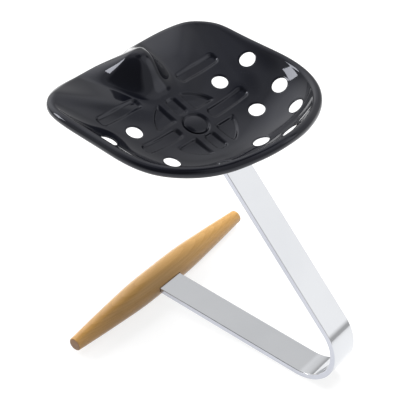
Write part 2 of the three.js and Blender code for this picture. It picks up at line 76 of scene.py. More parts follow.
class Slot(Enum):
    """Names of the material slots."""

    CHROME = "chromed_steel"
    BEECH = "beech"
    ZINC = "zinc_plated_steel"
    ENAMEL = "black_enamel"


class Change(Enum):
    """How a shape changes an object."""

    ADD = "UNION"
    CUT = "DIFFERENCE"


# Finishes


@dataclass(frozen=True)
class Grain:
    """How a noise runs: its fineness per metre along X, Y and Z, its octaves, and the weight of the finer ones."""

    scale: Place
    detail: float = 2.0
    roughness: float = 0.5


def even_grain(scale: float, detail: float = 2.0, roughness: float = 0.5) -> Grain:
    """Gives a grain that runs alike in every direction."""
    return Grain((scale, scale, scale), detail, roughness)


def opaque(colour: Colour) -> tuple[float, float, float, float]:
    """Gives a colour with its fourth value."""
    return (*colour, 1.0)


class NodeTree:
    """Adds nodes to a material's or a world's tree and links them."""

    def __init__(self, owner: bpy.types.ID) -> None:
        """Empties the owner's tree.

        Args:
            owner: A material or a world.
        """
        owner.use_nodes = True
        self.tree = owner.node_tree
        self.tree.nodes.clear()

    def add(self, kind: str, **settings: object) -> bpy.types.Node:
        """Adds a node.

        Args:
            kind: The node's type name.
            settings: Values for the node's own properties.

        Returns:
            The new node.
        """
        node = self.tree.nodes.new(kind)
        for name, value in settings.items():
            setattr(node, name, value)
        return node

    def put(self, value: Socket | Constant, target: Socket) -> None:
        """Gives an input its value.

        Args:
            value: An output that is linked to it, or a constant.
            target: The input.
        """
        if isinstance(value, Socket):
            self.tree.links.new(value, target)
        else:
            target.default_value = value

    def placed(self, scale: Place, shift: Place = (0, 0, 0)) -> Socket:
        """Gives the object's own coordinates, scaled and shifted.

        Args:
            scale: Factors for X, Y and Z.
            shift: What is added after the scaling.

        Returns:
            The vector output.
        """
        place = self.add("ShaderNodeTexCoord")
        mapping = self.add("ShaderNodeMapping")
        self.put(scale, mapping.inputs["Scale"])
        self.put(shift, mapping.inputs["Location"])
        self.put(place.outputs["Object"], mapping.inputs["Vector"])
        return mapping.outputs["Vector"]

    def noise(self, grain: Grain) -> Socket:
        """Adds a noise in the object's own coordinates.

        Args:
            grain: How it runs.

        Returns:
            The factor output.
        """
        texture = self.add("ShaderNodeTexNoise")
        self.put(self.placed(grain.scale), texture.inputs["Vector"])
        for name, value in (("Scale", 1.0), ("Detail", grain.detail), ("Roughness", grain.roughness)):
            self.put(value, texture.inputs[name])
        return texture.outputs["Fac"]

    def ranged(self, value: Socket, results: Span, span: Span) -> Socket:
        """Maps a value from one span to another and keeps it there.

        Args:
            value: The input.
            results: What the span's start and end become.
            span: Start and end of the input.

        Returns:
            The mapped value.
        """
        node = self.add("ShaderNodeMapRange", clamp=True)
        for name, part in zip(("From Min", "From Max", "To Min", "To Max"), (*span, *results)):
            self.put(part, node.inputs[name])
        self.put(value, node.inputs["Value"])
        return node.outputs["Result"]

    def coloured(self, value: Socket, first: Colour, second: Colour, span: Span) -> Socket:
        """Turns a value into a colour between two.

        Args:
            value: The input.
            first: Colour up to the span's start.
            second: Colour from its end on.
            span: Start and end of the change.

        Returns:
            The colour output.
        """
        ramp = self.add("ShaderNodeValToRGB")
        for element, place, colour in zip(ramp.color_ramp.elements, span, (first, second)):
            element.position = place
            element.color = opaque(colour)
        self.put(value, ramp.inputs["Fac"])
        return ramp.outputs["Color"]

    def mixed(self, first: Socket, second: Socket | Colour, share: Socket | float, blend: str = "MIX") -> Socket:
        """Mixes two colours.

        Args:
            first: Colour at share 0.
            second: Colour at share 1.
            share: The second one's share.
            blend: Blend mode.

        Returns:
            The mixed colour.
        """
        node = self.add("ShaderNodeMix", data_type="RGBA", blend_type=blend)
        self.put(share, node.inputs[0])
        self.put(first, node.inputs[6])
        self.put(second if isinstance(second, Socket) else opaque(second), node.inputs[7])
        return node.outputs[2]

    def between(self, first: Socket | float, second: Socket | float, share: Socket) -> Socket:
        """Gives a value between two.

        Args:
            first: Value at share 0.
            second: Value at share 1.
            share: The second one's share.

        Returns:
            The value.
        """
        node = self.add("ShaderNodeMix", data_type="FLOAT")
        for value, index in ((share, 0), (first, 2), (second, 3)):
            self.put(value, node.inputs[index])
        return node.outputs[0]

    def computed(self, operation: str, *values: Socket | float) -> Socket:
        """Works on values.

        Args:
            operation: The maths node's operation.
            values: What it works on, in the order of its inputs.

        Returns:
            The result.
        """
        node = self.add("ShaderNodeMath", operation=operation)
        for value, target in zip(values, node.inputs):
            self.put(value, target)
        return node.outputs[0]

    def bump(self, height: Socket, depth: float, under: Socket | None = None) -> Socket:
        """Adds a bump.

        Args:
            height: Height, 0 to 1.
            depth: The depth in metres that 1 stands for.
            under: A normal that this one is laid over.

        Returns:
            The normal output.
        """
        node = self.add("ShaderNodeBump")
        self.put(depth, node.inputs["Distance"])
        self.put(height, node.inputs["Height"])
        if under is not None:
            self.put(under, node.inputs["Normal"])
        return node.outputs["Normal"]

    def shader(self, kind: str, **values: Socket | Constant) -> Socket:
        """Adds a shader.

        Args:
            kind: The node's type name.
            values: What goes into its sockets, by name with _ for a space.

        Returns:
            The shader output.
        """
        node = self.add(kind)
        for name, value in values.items():
            self.put(value, node.inputs[name.replace("_", " ")])
        return node.outputs[0]

    def end(self, kind: str, shader: Socket) -> None:
        """Adds the tree's output node, which shows a shader."""
        self.put(shader, self.add(kind).inputs["Surface"])

    def surface(self, **values: Socket | Constant) -> None:
        """Adds a material's surface shader and its output."""
        self.end("ShaderNodeOutputMaterial", self.shader("ShaderNodeBsdfPrincipled", **values))


@dataclass(frozen=True)
class BlackEnamel:
    """Stove enamel on pressed sheet: deep black and glossy, with a faint orange peel and the sheet's own waves."""

    colour: Colour = (0.0032, 0.0036, 0.0062)
    warm_colour: Colour = (0.0046, 0.0048, 0.0066)
    sheen_colour: Colour = (0.87, 0.89, 1.0)
    shine: float = 0.52
    refraction: float = 1.5
    roughness: Span = (0.03, 0.06)
    tint: Grain = even_grain(11, 3)
    haze: Grain = even_grain(26, 4, 0.6)
    waves: Grain = even_grain(13, 0.6)
    peel: Grain = even_grain(620, 1)
    noise_span: Span = (0.35, 0.7)
    wave_depth: float = 0.0011
    peel_depth: float = 0.000012

    def material(self) -> bpy.types.Material:
        """Builds the material.

        Returns:
            The material.
        """
        made = bpy.data.materials.new("black_enamel")
        nodes = NodeTree(made)
        waves = nodes.bump(nodes.noise(self.waves), self.wave_depth)
        nodes.surface(
            Base_Color=nodes.coloured(nodes.noise(self.tint), self.colour, self.warm_colour, self.noise_span),
            Roughness=nodes.ranged(nodes.noise(self.haze), self.roughness, self.noise_span),
            Normal=nodes.bump(nodes.noise(self.peel), self.peel_depth, waves),
            IOR=self.refraction, Specular_IOR_Level=self.shine, Specular_Tint=opaque(self.sheen_colour))
        return made


@dataclass(frozen=True)
class SatinChrome:
    """Chrome on spring steel, drawn along the strip, with a few faint marks."""

    colour: Colour = (0.69, 0.702, 0.725)
    deep_colour: Colour = (0.655, 0.668, 0.693)
    roughness: Span = (0.07, 0.12)
    lines: Grain = Grain((900, 3, 3), 3, 0.6)
    cloud: Grain = even_grain(9, 3)
    ripple: Grain = even_grain(7, 0.5)
    cloud_span: Span = (0.3, 0.65)
    line_span: Span = (0.3, 0.7)
    line_depth: float = 0.000012
    ripple_depth: float = 0.00045
    name: str = "satin_chrome"

    def material(self) -> bpy.types.Material:
        """Builds the material.

        Returns:
            The material.
        """
        made = bpy.data.materials.new(self.name)
        nodes = NodeTree(made)
        lines = nodes.noise(self.lines)
        ripple = nodes.bump(nodes.noise(self.ripple), self.ripple_depth)
        nodes.surface(
            Metallic=1.0,
            Base_Color=nodes.coloured(nodes.noise(self.cloud), self.deep_colour, self.colour, self.cloud_span),
            Roughness=nodes.ranged(lines, self.roughness, self.line_span),
            Normal=nodes.bump(lines, self.line_depth, ripple))
        return made


CHROME_EDGE = SatinChrome(
    colour=(0.6, 0.615, 0.675), deep_colour=(0.55, 0.565, 0.625), roughness=(0.14, 0.2), name="satin_chrome_edge")


@dataclass(frozen=True)
class ZincPlate:
    """Bright zinc on small turned and pressed hardware, a little clouded."""

    colour: Colour = (0.62, 0.63, 0.655)
    dull_colour: Colour = (0.45, 0.455, 0.46)
    roughness: Span = (0.46, 0.26)
    cloud: Grain = even_grain(160, 4, 0.62)
    grain: Grain = even_grain(900, 2)
    cloud_span: Span = (0.3, 0.62)
    rough_span: Span = (0.3, 0.7)
    grain_depth: float = 0.00004

    def material(self) -> bpy.types.Material:
        """Builds the material.

        Returns:
            The material.
        """
        made = bpy.data.materials.new("zinc_plate")
        nodes = NodeTree(made)
        cloud = nodes.noise(self.cloud)
        nodes.surface(
            Metallic=1.0,
            Base_Color=nodes.coloured(cloud, self.dull_colour, self.colour, self.cloud_span),
            Roughness=nodes.ranged(cloud, self.roughness, self.rough_span),
            Normal=nodes.bump(nodes.noise(self.grain), self.grain_depth))
        return made


@dataclass(frozen=True)
class LacqueredBeech:
    """Turned beech along X under a clear satin lacquer: fine fibres, short ray flecks, and rings on the ends."""

    pale: Colour = (0.7, 0.41, 0.138)
    honey: Colour = (0.6, 0.325, 0.098)
    fleck: Colour = (0.4, 0.2, 0.055)
    fibre_tint: Colour = (0.91, 0.88, 0.83)
    end_tint: Colour = (0.46, 0.38, 0.32)
    fibres: Grain = Grain((9, 260, 260), 4, 0.65)
    broad: Grain = Grain((2.2, 34, 34), 3)
    flecks: Grain = Grain((190, 1500, 700), 1)
    tone_span: Span = (0.35, 0.85)
    fibre_span: Span = (0.3, 0.62)
    fleck_span: Span = (0.62, 0.72)
    rough_span: Span = (0.3, 0.7)
    end_span: Span = (0.75, 0.95)
    fibre_share: float = 0.8
    fleck_share: float = 0.28
    ring_share: float = 0.3
    ring_spacing: float = 0.0023
    ring_period: float = 0.314      # from ring to ring where the texture's scale is 1
    ring_wobble: float = 1.4
    ring_detail: float = 2.0
    ring_detail_scale: float = 0.6
    along_share: float = 0.06
    heart_drop: float = 0.012
    roughness: Span = (0.3, 0.42)
    fibre_depth: float = 0.00006
    coat: float = 0.45
    coat_roughness: float = 0.12
    shine: float = 0.35

    def material(self) -> bpy.types.Material:
        """Builds the material.

        Returns:
            The material.
        """
        made = bpy.data.materials.new("lacquered_beech")
        nodes = NodeTree(made)
        fibres = nodes.noise(self.fibres)
        broad = nodes.noise(self.broad)
        tone = nodes.computed("MULTIPLY_ADD", self.rings(nodes), self.ring_share, broad)
        base = nodes.coloured(tone, self.pale, self.honey, self.tone_span)
        fine = nodes.coloured(fibres, self.fibre_tint, (1.0, 1.0, 1.0), self.fibre_span)
        grained = nodes.mixed(base, fine, self.fibre_share, "MULTIPLY")
        spots = nodes.ranged(nodes.noise(self.flecks), (0.0, self.fleck_share), self.fleck_span)
        turned = nodes.mixed(grained, self.fleck, spots)
        nodes.surface(
            Base_Color=nodes.mixed(turned, self.end_tint, self.end_share(nodes), "MULTIPLY"),
            Roughness=nodes.ranged(broad, self.roughness, self.rough_span),
            Normal=nodes.bump(fibres, self.fibre_depth),
            Coat_Weight=self.coat, Coat_Roughness=self.coat_roughness, Specular_IOR_Level=self.shine)
        return made

    def end_share(self, nodes: NodeTree) -> Socket:
        """Tells the cut ends, which soak up more lacquer, from the turned side.

        Args:
            nodes: The material's tree.

        Returns:
            1 on the ends, 0 on the side.
        """
        place = nodes.add("ShaderNodeTexCoord")
        parts = nodes.add("ShaderNodeSeparateXYZ")
        nodes.put(place.outputs["Normal"], parts.inputs[0])
        return nodes.ranged(nodes.computed("ABSOLUTE", parts.outputs["X"]), (0.0, 1.0), self.end_span)

    def rings(self, nodes: NodeTree) -> Socket:
        """Gives the year rings round a heart that lies below the spindle's axis.

        Args:
            nodes: The material's tree.

        Returns:
            0 in early wood, 1 in late wood.
        """
        wave = nodes.add("ShaderNodeTexWave", wave_type="RINGS", rings_direction="X", wave_profile="SAW")
        for name, value in (("Scale", self.ring_period / self.ring_spacing), ("Distortion", self.ring_wobble),
                            ("Detail", self.ring_detail), ("Detail Scale", self.ring_detail_scale)):
            nodes.put(value, wave.inputs[name])
        nodes.put(nodes.placed((self.along_share, 1, 1), (0, 0, self.heart_drop)), wave.inputs["Vector"])
        return wave.outputs["Fac"]


@dataclass
class Finishes:
    """The finishes, each built once."""

    enamel: bpy.types.Material = field(default_factory=BlackEnamel().material)
    chrome: bpy.types.Material = field(default_factory=SatinChrome().material)
    chrome_edge: bpy.types.Material = field(default_factory=CHROME_EDGE.material)
    zinc: bpy.types.Material = field(default_factory=ZincPlate().material)
    beech: bpy.types.Material = field(default_factory=LacqueredBeech().material)


# Mesh work


def smooth(mesh: bpy.types.Mesh, crease: float) -> None:
    """Shades a mesh smooth, but for edges sharper than crease degrees."""
    mesh.shade_smooth()
    mesh.set_sharp_from_angle(angle=math.radians(crease))


@dataclass
class Shape:
    """A mesh being built: points, and faces as lists of their indices."""

    points: np.ndarray
    faces: list[Sequence[int]]

    def joined(self, other: "Shape") -> "Shape":
        """Puts another shape beside this one.

        Args:
            other: The other shape.

        Returns:
            Both as one.
        """
        shift = len(self.points)
        moved = [tuple(index + shift for index in face) for face in other.faces]
        return Shape(np.vstack([self.points, other.points]), [*self.faces, *moved])

    def pair(self, spacing: float) -> list["Shape"]:
        """Gives the shape twice, a spacing apart along X, the one at the sitter's right first."""
        return [Shape(self.points + [side * spacing / 2, 0, 0], self.faces) for side in (-1, 1)]

    def piece(self, name: str, materials: Sequence[bpy.types.Material], crease: float = 40.0) -> bpy.types.Object:
        """Makes the Blender object.

        Args:
            name: The object's name.
            materials: Its materials in the order of their slots.
            crease: Edges sharper than this many degrees stay sharp.

        Returns:
            The object, smooth shaded.
        """
        mesh = bpy.data.meshes.new(name)
        mesh.from_pydata(self.points.tolist(), [], [tuple(face) for face in self.faces])
        mesh.validate()
        smooth(mesh, crease)
        for material in materials:
            mesh.materials.append(material)
        made = bpy.data.objects.new(name, mesh)
        bpy.context.scene.collection.objects.link(made)
        return made


def skin(points: np.ndarray | list[Place], count: int, closed: bool = False) -> Shape:
    """Covers rows of points, each row a loop, with faces from row to row.

    Args:
        points: The points, one row after the other.
        count: How many a row has.
        closed: Whether the last row joins the first. Where it doesn't, a face closes each end.

    Returns:
        The closed shape.
    """
    index = np.arange(len(points)).reshape(-1, count)
    here = index if closed else index[:-1]
    above = np.roll(index, -1, 0)[:len(here)]
    quads = np.stack([here, np.roll(here, -1, 1), np.roll(above, -1, 1), above], -1)
    faces = quads.reshape(-1, 4).tolist()
    if not closed:
        faces += [index[0, ::-1].tolist(), index[-1].tolist()]
    return Shape(np.array(points), faces)


def lathe(profile: Profile, sides: int, closed: bool = False, flute: Flute | None = None) -> Shape:
    """Turns a profile about Z.

    Args:
        profile: (radius, height) points from bottom to top. Where closed is false it starts and ends on the axis.
        sides: Steps round the axis.
        closed: Whether the profile is a loop, as for a ring.
        flute: Changes radii, from their angles and heights, for a thread.

    Returns:
        The closed shape.
    """
    rows = np.array(profile if closed else profile[1:-1], float)
    angle = np.linspace(0, FULL_TURN, sides, endpoint=False)
    radius, height = np.repeat(rows[:, :1], sides, 1), np.repeat(rows[:, 1:], sides, 1)
    if flute is not None:
        radius = flute(radius, np.broadcast_to(angle, radius.shape), height)
    points = np.stack([radius * np.cos(angle), radius * np.sin(angle), height], -1).reshape(-1, 3)
    return skin(points, sides, closed)


def rod(radius: float, low: float, high: float, sides: int) -> Shape:
    """Gives a plain upright round between two heights."""
    return lathe([(0, low), (radius, low), (radius, high), (0, high)], sides)


def block(low: Place, high: Place) -> Shape:
    """Gives an upright block between two corners.

    Args:
        low: The corner with the lowest values.
        high: The corner with the highest.

    Returns:
        The closed shape.
    """
    (x0, y0, z0), (x1, y1, z1) = low, high
    return skin([(x, y, z) for z in (z0, z1) for x, y in ((x0, y0), (x1, y0), (x1, y1), (x0, y1))], 4)


def on_circle(x: float, y: float, radius: float, angle: float) -> Point:
    """Gives the point of a circle at an angle in degrees."""
    turn = math.radians(angle)
    return x + radius * math.cos(turn), y + radius * math.sin(turn)


def rounded_corner(x: float, y: float, radius: float, start: float, end: float, steps: int) -> Profile:
    """Gives points of an arc.

    Args:
        x: Its centre.
        y: Its centre.
        radius: Its radius.
        start: First angle in degrees.
        end: Last angle in degrees.
        steps: Steps between them.

    Returns:
        The points, both ends among them.
    """
    return [on_circle(x, y, radius, angle) for angle in np.linspace(start, end, steps + 1)]


def bake_modifiers(target: bpy.types.Object) -> None:
    """Applies an object's modifiers.

    Args:
        target: The object.
    """
    bpy.context.view_layer.update()
    graph = bpy.context.evaluated_depsgraph_get()
    made = bpy.data.meshes.new_from_object(target.evaluated_get(graph))
    target.modifiers.clear()
    target.data = made


def combine(target: bpy.types.Object, change: Change, *shapes: Shape) -> None:
    """Adds closed shapes to an object, or takes them out of it.

    Args:
        target: The object, in the same coordinates as the shapes.
        change: Which of the two.
        shapes: The shapes.
    """
    for shape in shapes:
        tool = shape.piece("tool", [])
        step = target.modifiers.new("combine", "BOOLEAN")
        step.operation, step.solver, step.object = change.value, "EXACT", tool
        bake_modifiers(target)
        bpy.data.objects.remove(tool)


def fit_out(piece: bpy.types.Object, body: Body, node: str, place: Matrix | None = None) -> None:
    """Puts a piece in its place and on its body, instead of its node, and reports it.

    Args:
        piece: The object, in its own coordinates.
        body: The body that it rides on.
        node: The frame's node that it stands for.
        place: Where its coordinates lie in the frame, unless they are the frame's.
    """
    if place is not None:
        piece.data.transform(place)
    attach(piece, body.value)
    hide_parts(node)
    log.info("%s: %d faces, on %s", piece.name, len(piece.data.polygons), body.value)


def smooth_step(value: np.ndarray) -> np.ndarray:
    """Rises softly from 0 to 1."""
    held = np.clip(value, 0, 1)
    return held * held * (3 - 2 * held)


def smoother_step(value: np.ndarray) -> np.ndarray:
    """Rises from 0 to 1 with no jump in its bend."""
    held = np.clip(value, 0, 1)
    return held ** 3 * (held * (6 * held - 15) + 10)


def natural_spline(known: np.ndarray, values: np.ndarray, wanted: np.ndarray) -> np.ndarray:
    """Gives the smoothest curve through some values.

    Args:
        known: Places where the values are known, rising.
        values: The values there.
        wanted: Places where they are wanted.

    Returns:
        The values at those places.
    """
    count = len(known)
    step = np.diff(known)
    system = np.eye(count)
    pull = np.zeros(count)
    for i in range(1, count - 1):
        system[i, i - 1:i + 2] = step[i - 1], 2 * (step[i - 1] + step[i]), step[i]
        pull[i] = 6 * ((values[i + 1] - values[i]) / step[i] - (values[i] - values[i - 1]) / step[i - 1])
    bend = np.linalg.solve(system, pull)
    i = np.clip(np.searchsorted(known, wanted) - 1, 0, count - 2)
    a, b, h = known[i + 1] - wanted, wanted - known[i], step[i]
    curve = (bend[i] * a ** 3 + bend[i + 1] * b ** 3) / (6 * h)
    return curve + (values[i] / h - bend[i] * h / 6) * a + (values[i + 1] / h - bend[i + 1] * h / 6) * b


def unit(vectors: np.ndarray) -> np.ndarray:
    """Gives vectors the length 1."""
    return vectors / np.linalg.norm(vectors, axis=-1, keepdims=True)


def thread_wave(angle: np.ndarray, height: np.ndarray, pitch: float) -> np.ndarray:
    """Gives a wave that runs round an axis as a thread does.

    Args:
        angle: Angles round the axis.
        height: Heights along it.
        pitch: The thread's rise in one turn.

    Returns:
        1 on the thread's line, 0 half a turn from it.
    """
    turn = (height / pitch - angle / FULL_TURN) % 1
    return np.abs(2 * turn - 1)


# The pan


@dataclass(frozen=True)
class SeatPlace:
    """Where the pan's middle lies, and how many degrees it leans and is turned."""

    behind_foot: float = 0.0945
    height: float = 0.433
    slope: float = 16.2
    turn: float = 3.8

    def matrix(self) -> Matrix:
        """Gives the place of everything on the bolt.

        Returns:
            What turns the pan's coordinates into the frame's.
        """
        lean = Matrix.Rotation(-math.radians(self.slope), 4, "X")
        turned = Matrix.Rotation(-math.radians(self.turn), 4, "Z")
        return Matrix.Translation((0, self.behind_foot, self.height)) @ lean @ turned


@dataclass(frozen=True)
class Press:
    """The sunk pattern: four quarters of a wheel, slots round it, and the dimple for the bolt's head.

    A slot is given by its inner end and its outer end, and off the midline by the y of its middle line too.
    """

    depth: float = 0.004
    outside: float = 0.006
    inside: float = 0.0008
    late_fall: float = 1.4
    underside_growth: float = 0.0008
    wheel_radius: float = 0.072
    fan_across: float = 0.029
    fan_along: float = 0.027
    fan_corner: float = 0.0045
    corner_per_blend: float = 2.2
    slot_half_width: float = 0.0085
    slot_corner: float = 0.005
    midline_slot: Span = (0.032, 0.067)
    side_slot: tuple[float, float, float] = (0.042, 0.126, -0.002)
    thigh_slot: tuple[float, float, float] = (0.055, 0.145, -0.095)
    dimple_radius: float = 0.023
    dimple_outside: float = 0.0042
    dimple_inside: float = 0.0012

    def off_slot(self, x: np.ndarray, y: np.ndarray, start: float, end: float, middle: float) -> np.ndarray:
        """Gives the distance from a slot along X.

        Args:
            x: Places across.
            y: Places along.
            start: Its inner end.
            end: Its outer end.
            middle: The y of its middle line.

        Returns:
            The distances, negative inside.
        """
        off_x = np.abs(x - (start + end) / 2) - (end - start) / 2 + self.slot_corner
        off_y = np.abs(y - middle) - self.slot_half_width + self.slot_corner
        beyond = np.hypot(np.maximum(off_x, 0), np.maximum(off_y, 0))
        return beyond + np.minimum(np.maximum(off_x, off_y), 0) - self.slot_corner

    def off_fan(self, x: np.ndarray, y: np.ndarray) -> np.ndarray:
        """Gives the distance from a quarter of the wheel, with soft corners.

        Args:
            x: Places across, all to one side of the midline.
            y: Places along, all to one side of the bolt.

        Returns:
            The distances, negative inside.
        """
        sides = np.stack([self.fan_across - x, self.fan_along - y, np.hypot(x, y) - self.wheel_radius])
        soft = self.fan_corner / self.corner_per_blend
        top = sides.max(0)
        return top + soft * np.log(np.exp((sides - top) / soft).sum(0))

    def distances(self, x: np.ndarray, y: np.ndarray) -> tuple[np.ndarray, np.ndarray]:
        """Gives the distances from the nearest slot or fan, and from the dimple.

        Args:
            x: Places across, from the pan's middle.
            y: Places along.

        Returns:
            Both distances, negative inside.
        """
        across, along = np.abs(x), np.abs(y)
        midline = self.off_slot(along, x, *self.midline_slot, 0.0)
        side = self.off_slot(across, y, *self.side_slot)
        thigh = self.off_slot(across, y, *self.thigh_slot)
        pattern = np.minimum.reduce([midline, side, thigh, self.off_fan(across, along)])
        return pattern, np.hypot(x, y) - self.dimple_radius

    def sunk(self, x: np.ndarray, y: np.ndarray, grown: float = 0.0) -> np.ndarray:
        """Gives how deep the sheet is pressed.

        Args:
            x: Places across.
            y: Places along.
            grown: How much wider the pattern is, as on the underside.

        Returns:
            The depths.
        """
        pattern, dimple = self.distances(x, y)
        way = np.clip((self.outside + grown - pattern) / (self.outside + self.inside), 0, 1)
        soft = smooth_step(way ** self.late_fall)
        round_one = smooth_step((self.dimple_outside + grown - dimple) / (self.dimple_outside + self.dimple_inside))
        return self.depth * np.maximum(soft, round_one)


@dataclass
class SeatPan:
    """The pan: sheet pressed to a bowl with thigh hollows and a pommel, its edge rolled over and under.

    A row of brim_shares is a place on the brim's half at the sitter's left, from the front to the back: its shares
    of the half width, of the reach and of the back's height, and how much of a lip it has.
    """

    half_width: float = 0.197
    front_reach: float = 0.214
    back_reach: float = 0.170
    back_height: float = 0.1196
    thickness: float = 0.0022
    thigh_crown: float = 0.004
    flat_share: float = 0.245
    wall_reach_share: float = 0.965
    wall_power: float = 2.1
    front_power: float = 1.7
    roll_radius: float = 0.0092
    front_roll_radius: float = 0.006
    roll_turn: float = 250.0
    lip_radius: float = 0.018
    lip_turn: float = 60.0
    pommel_height: float = 0.0596
    pommel_start: float = 0.0664
    pommel_top: float = 0.1653
    pommel_fall_share: float = 0.224
    pommel_fall_ease: float = 0.4
    pommel_inner_half_width: float = 0.043
    pommel_front_half_width: float = 0.085
    brim_shares: tuple[BrimRow, ...] = (
        (0.000, -0.857, -0.170, 1.0),
        (0.101, -0.903, -0.153, 1.0),
        (0.217, -0.970, -0.156, 1.0),
        (0.389, -0.992, -0.162, 1.0),
        (0.624, -0.965, -0.085, 1.0),
        (0.799, -0.892, 0.037, 0.8),
        (0.930, -0.805, 0.090, 0.4),
        (0.992, -0.659, 0.173, 0.1),
        (0.999, -0.455, 0.257, 0.0),
        (1.001, -0.172, 0.382, 0.0),
        (1.001, 0.100, 0.496, 0.0),
        (0.946, 0.393, 0.609, 0.0),
        (0.805, 0.643, 0.726, 0.0),
        (0.603, 0.820, 0.815, 0.0),
        (0.379, 0.927, 0.909, 0.0),
        (0.183, 0.982, 0.968, 0.0),
        (0.000, 1.000, 1.000, 0.0),
    )
    hole_radius: float = 0.0151
    hole_ring_radius: float = 0.119
    hole_ring_angles: tuple[float, ...] = (-22.5, 22.5, 67.5)
    outer_hole_shares: tuple[Point, ...] = ((0.898, -0.210), (0.853, 0.241), (0.701, 0.596), (0.360, 0.829))
    hole_edge_drop: float = 0.0006
    hole_edge_reach: float = 0.0026
    hole_search_share: float = 2.5
    hole_rounds: int = 4
    bolt_hole_radius: float = 0.009
    press: Press = field(default_factory=Press)
    brim_samples: int = 8193
    row_samples: int = 4001
    row_wall_share: float = 0.75
    slope_step: float = 0.0004
    brim_margin: float = 0.0006
    columns: int = 560
    row_step: float = 0.0014
    roll_steps: int = 30
    lip_steps: int = 6
    crease: float = 50.0
    knots: np.ndarray = field(init=False)
    slopes: np.ndarray = field(init=False)
    walk: np.ndarray = field(init=False)
    walked: np.ndarray = field(init=False)
    bearing: np.ndarray = field(init=False)

    def __post_init__(self) -> None:
        """Lays the smooth closed line of the brim through the table's places."""
        half = [self.row_place(row) for row in self.brim_shares]
        mirrored = [(-x, y, z, lip) for x, y, z, lip in reversed(half[1:-1])]
        self.knots = np.array([*half, *mirrored])
        count = len(self.knots)
        system = 4 * np.eye(count) + np.roll(np.eye(count), 1, 0) + np.roll(np.eye(count), -1, 0)
        pull = 3 * (np.roll(self.knots, -1, 0) - np.roll(self.knots, 1, 0))
        self.slopes = np.linalg.solve(system, pull)
        self.walk = np.linspace(0, count, self.brim_samples)
        places = self.brim(self.walk)
        self.bearing = np.unwrap(np.arctan2(places[:, 1], places[:, 0]))
        steps = np.hypot(*np.diff(places[:, :2], axis=0).T)
        self.walked = np.concatenate([[0], np.cumsum(steps)])

    def row_place(self, row: BrimRow) -> BrimRow:
        """Turns a row of shares into a place.

        Args:
            row: The row.

        Returns:
            x, y and height in the pan's coordinates, and the lip share.
        """
        side, length, height, lip = row
        reach = self.front_reach if length < 0 else self.back_reach
        return side * self.half_width, length * reach, height * self.back_height, lip

    def brim(self, walk: np.ndarray) -> np.ndarray:
        """Gives the brim's places.

        Args:
            walk: How many table rows along the closed line.

        Returns:
            x, y, height without the pommel, and lip share for each.
        """
        count = len(self.knots)
        row = np.floor(walk).astype(int)
        t = (walk - row)[..., None]
        here, there = row % count, (row + 1) % count
        start, end = self.knots[here], self.knots[there]
        leave, arrive = self.slopes[here], self.slopes[there]
        rise = 3 * t ** 2 - 2 * t ** 3
        bend = leave * (t ** 3 - 2 * t ** 2 + t) + arrive * (t ** 3 - t ** 2)
        return start * (1 - rise) + end * rise + bend

    def walk_at(self, x: np.ndarray, y: np.ndarray) -> np.ndarray:
        """Gives where on the brim the line from the bolt through a place ends.

        Args:
            x: Places across, from the pan's middle.
            y: Places along.

        Returns:
            How many table rows along the closed line.
        """
        first, last = self.bearing[0], self.bearing[-1]
        way = 1.0 if last > first else -1.0
        turned = (way * (np.arctan2(y, x) - first)) % FULL_TURN
        return np.interp(turned, way * (self.bearing - first), self.walk)

    def way_up(self, share: np.ndarray) -> np.ndarray:
        """Turns shares of the way to the brim into shares of the way up the wall."""
        return np.clip((share - self.flat_share) / (1 - self.flat_share), 0, 1)

    def ellipse(self, reach: np.ndarray | float) -> np.ndarray | float:
        """Rises from 0 to 1 as a quarter of an ellipse."""
        return 1 - np.sqrt(1 - reach ** self.wall_power)

    def wall_share(self, way: np.ndarray) -> np.ndarray:
        """Gives how much of its height the wall has reached: an ellipse that ends short of upright."""
        return self.ellipse(self.wall_reach_share * way) / self.ellipse(self.wall_reach_share)

    def pommel(self, x: np.ndarray, y: np.ndarray) -> np.ndarray:
        """Gives the pommel's height, whose crest rises and falls to the front and fades to both sides.

        Args:
            x: Places across, from the pan's middle.
            y: Places along.

        Returns:
            The heights.
        """
        ahead = -y
        rise = smoother_step((ahead - self.pommel_start) / (self.pommel_top - self.pommel_start))
        brim_ahead = -self.row_place(self.brim_shares[0])[1]
        past_top = np.maximum(0, ahead - self.pommel_top) / (brim_ahead - self.pommel_top)
        eased = past_top ** 2 * (1 + self.pommel_fall_ease) / (past_top + self.pommel_fall_ease)
        fall = self.pommel_fall_share * eased
        spread = (ahead - self.pommel_start) / (self.front_reach - self.pommel_start)
        half_width = self.pommel_inner_half_width + np.maximum(0, spread) * (
            self.pommel_front_half_width - self.pommel_inner_half_width)
        fade = np.cos(np.pi / 2 * np.minimum(1, np.abs(x) / half_width))
        return self.pommel_height * rise * (1 - fall) * fade ** 2

    def height(self, x: np.ndarray, y: np.ndarray) -> np.ndarray:
        """Gives the height of the upper face before the pattern is pressed.

        Args:
            x: Places across, from the pan's middle.
            y: Places along.

        Returns:
            The heights.
        """
        ends = self.brim(self.walk_at(x, y))
        way = self.way_up(np.hypot(x, y) / np.hypot(ends[..., 0], ends[..., 1]))
        lip = ends[..., 3]
        curve = (1 - lip) * self.wall_share(way) + lip * way ** self.front_power
        crown = lip * self.thigh_crown * np.sin(np.pi * way)
        return ends[..., 2] * curve + crown + self.pommel(x, y)

    def on_face(self, x: np.ndarray, y: np.ndarray) -> np.ndarray:
        """Gives that face's points."""
        return np.stack([x, y, self.height(x, y)], -1)

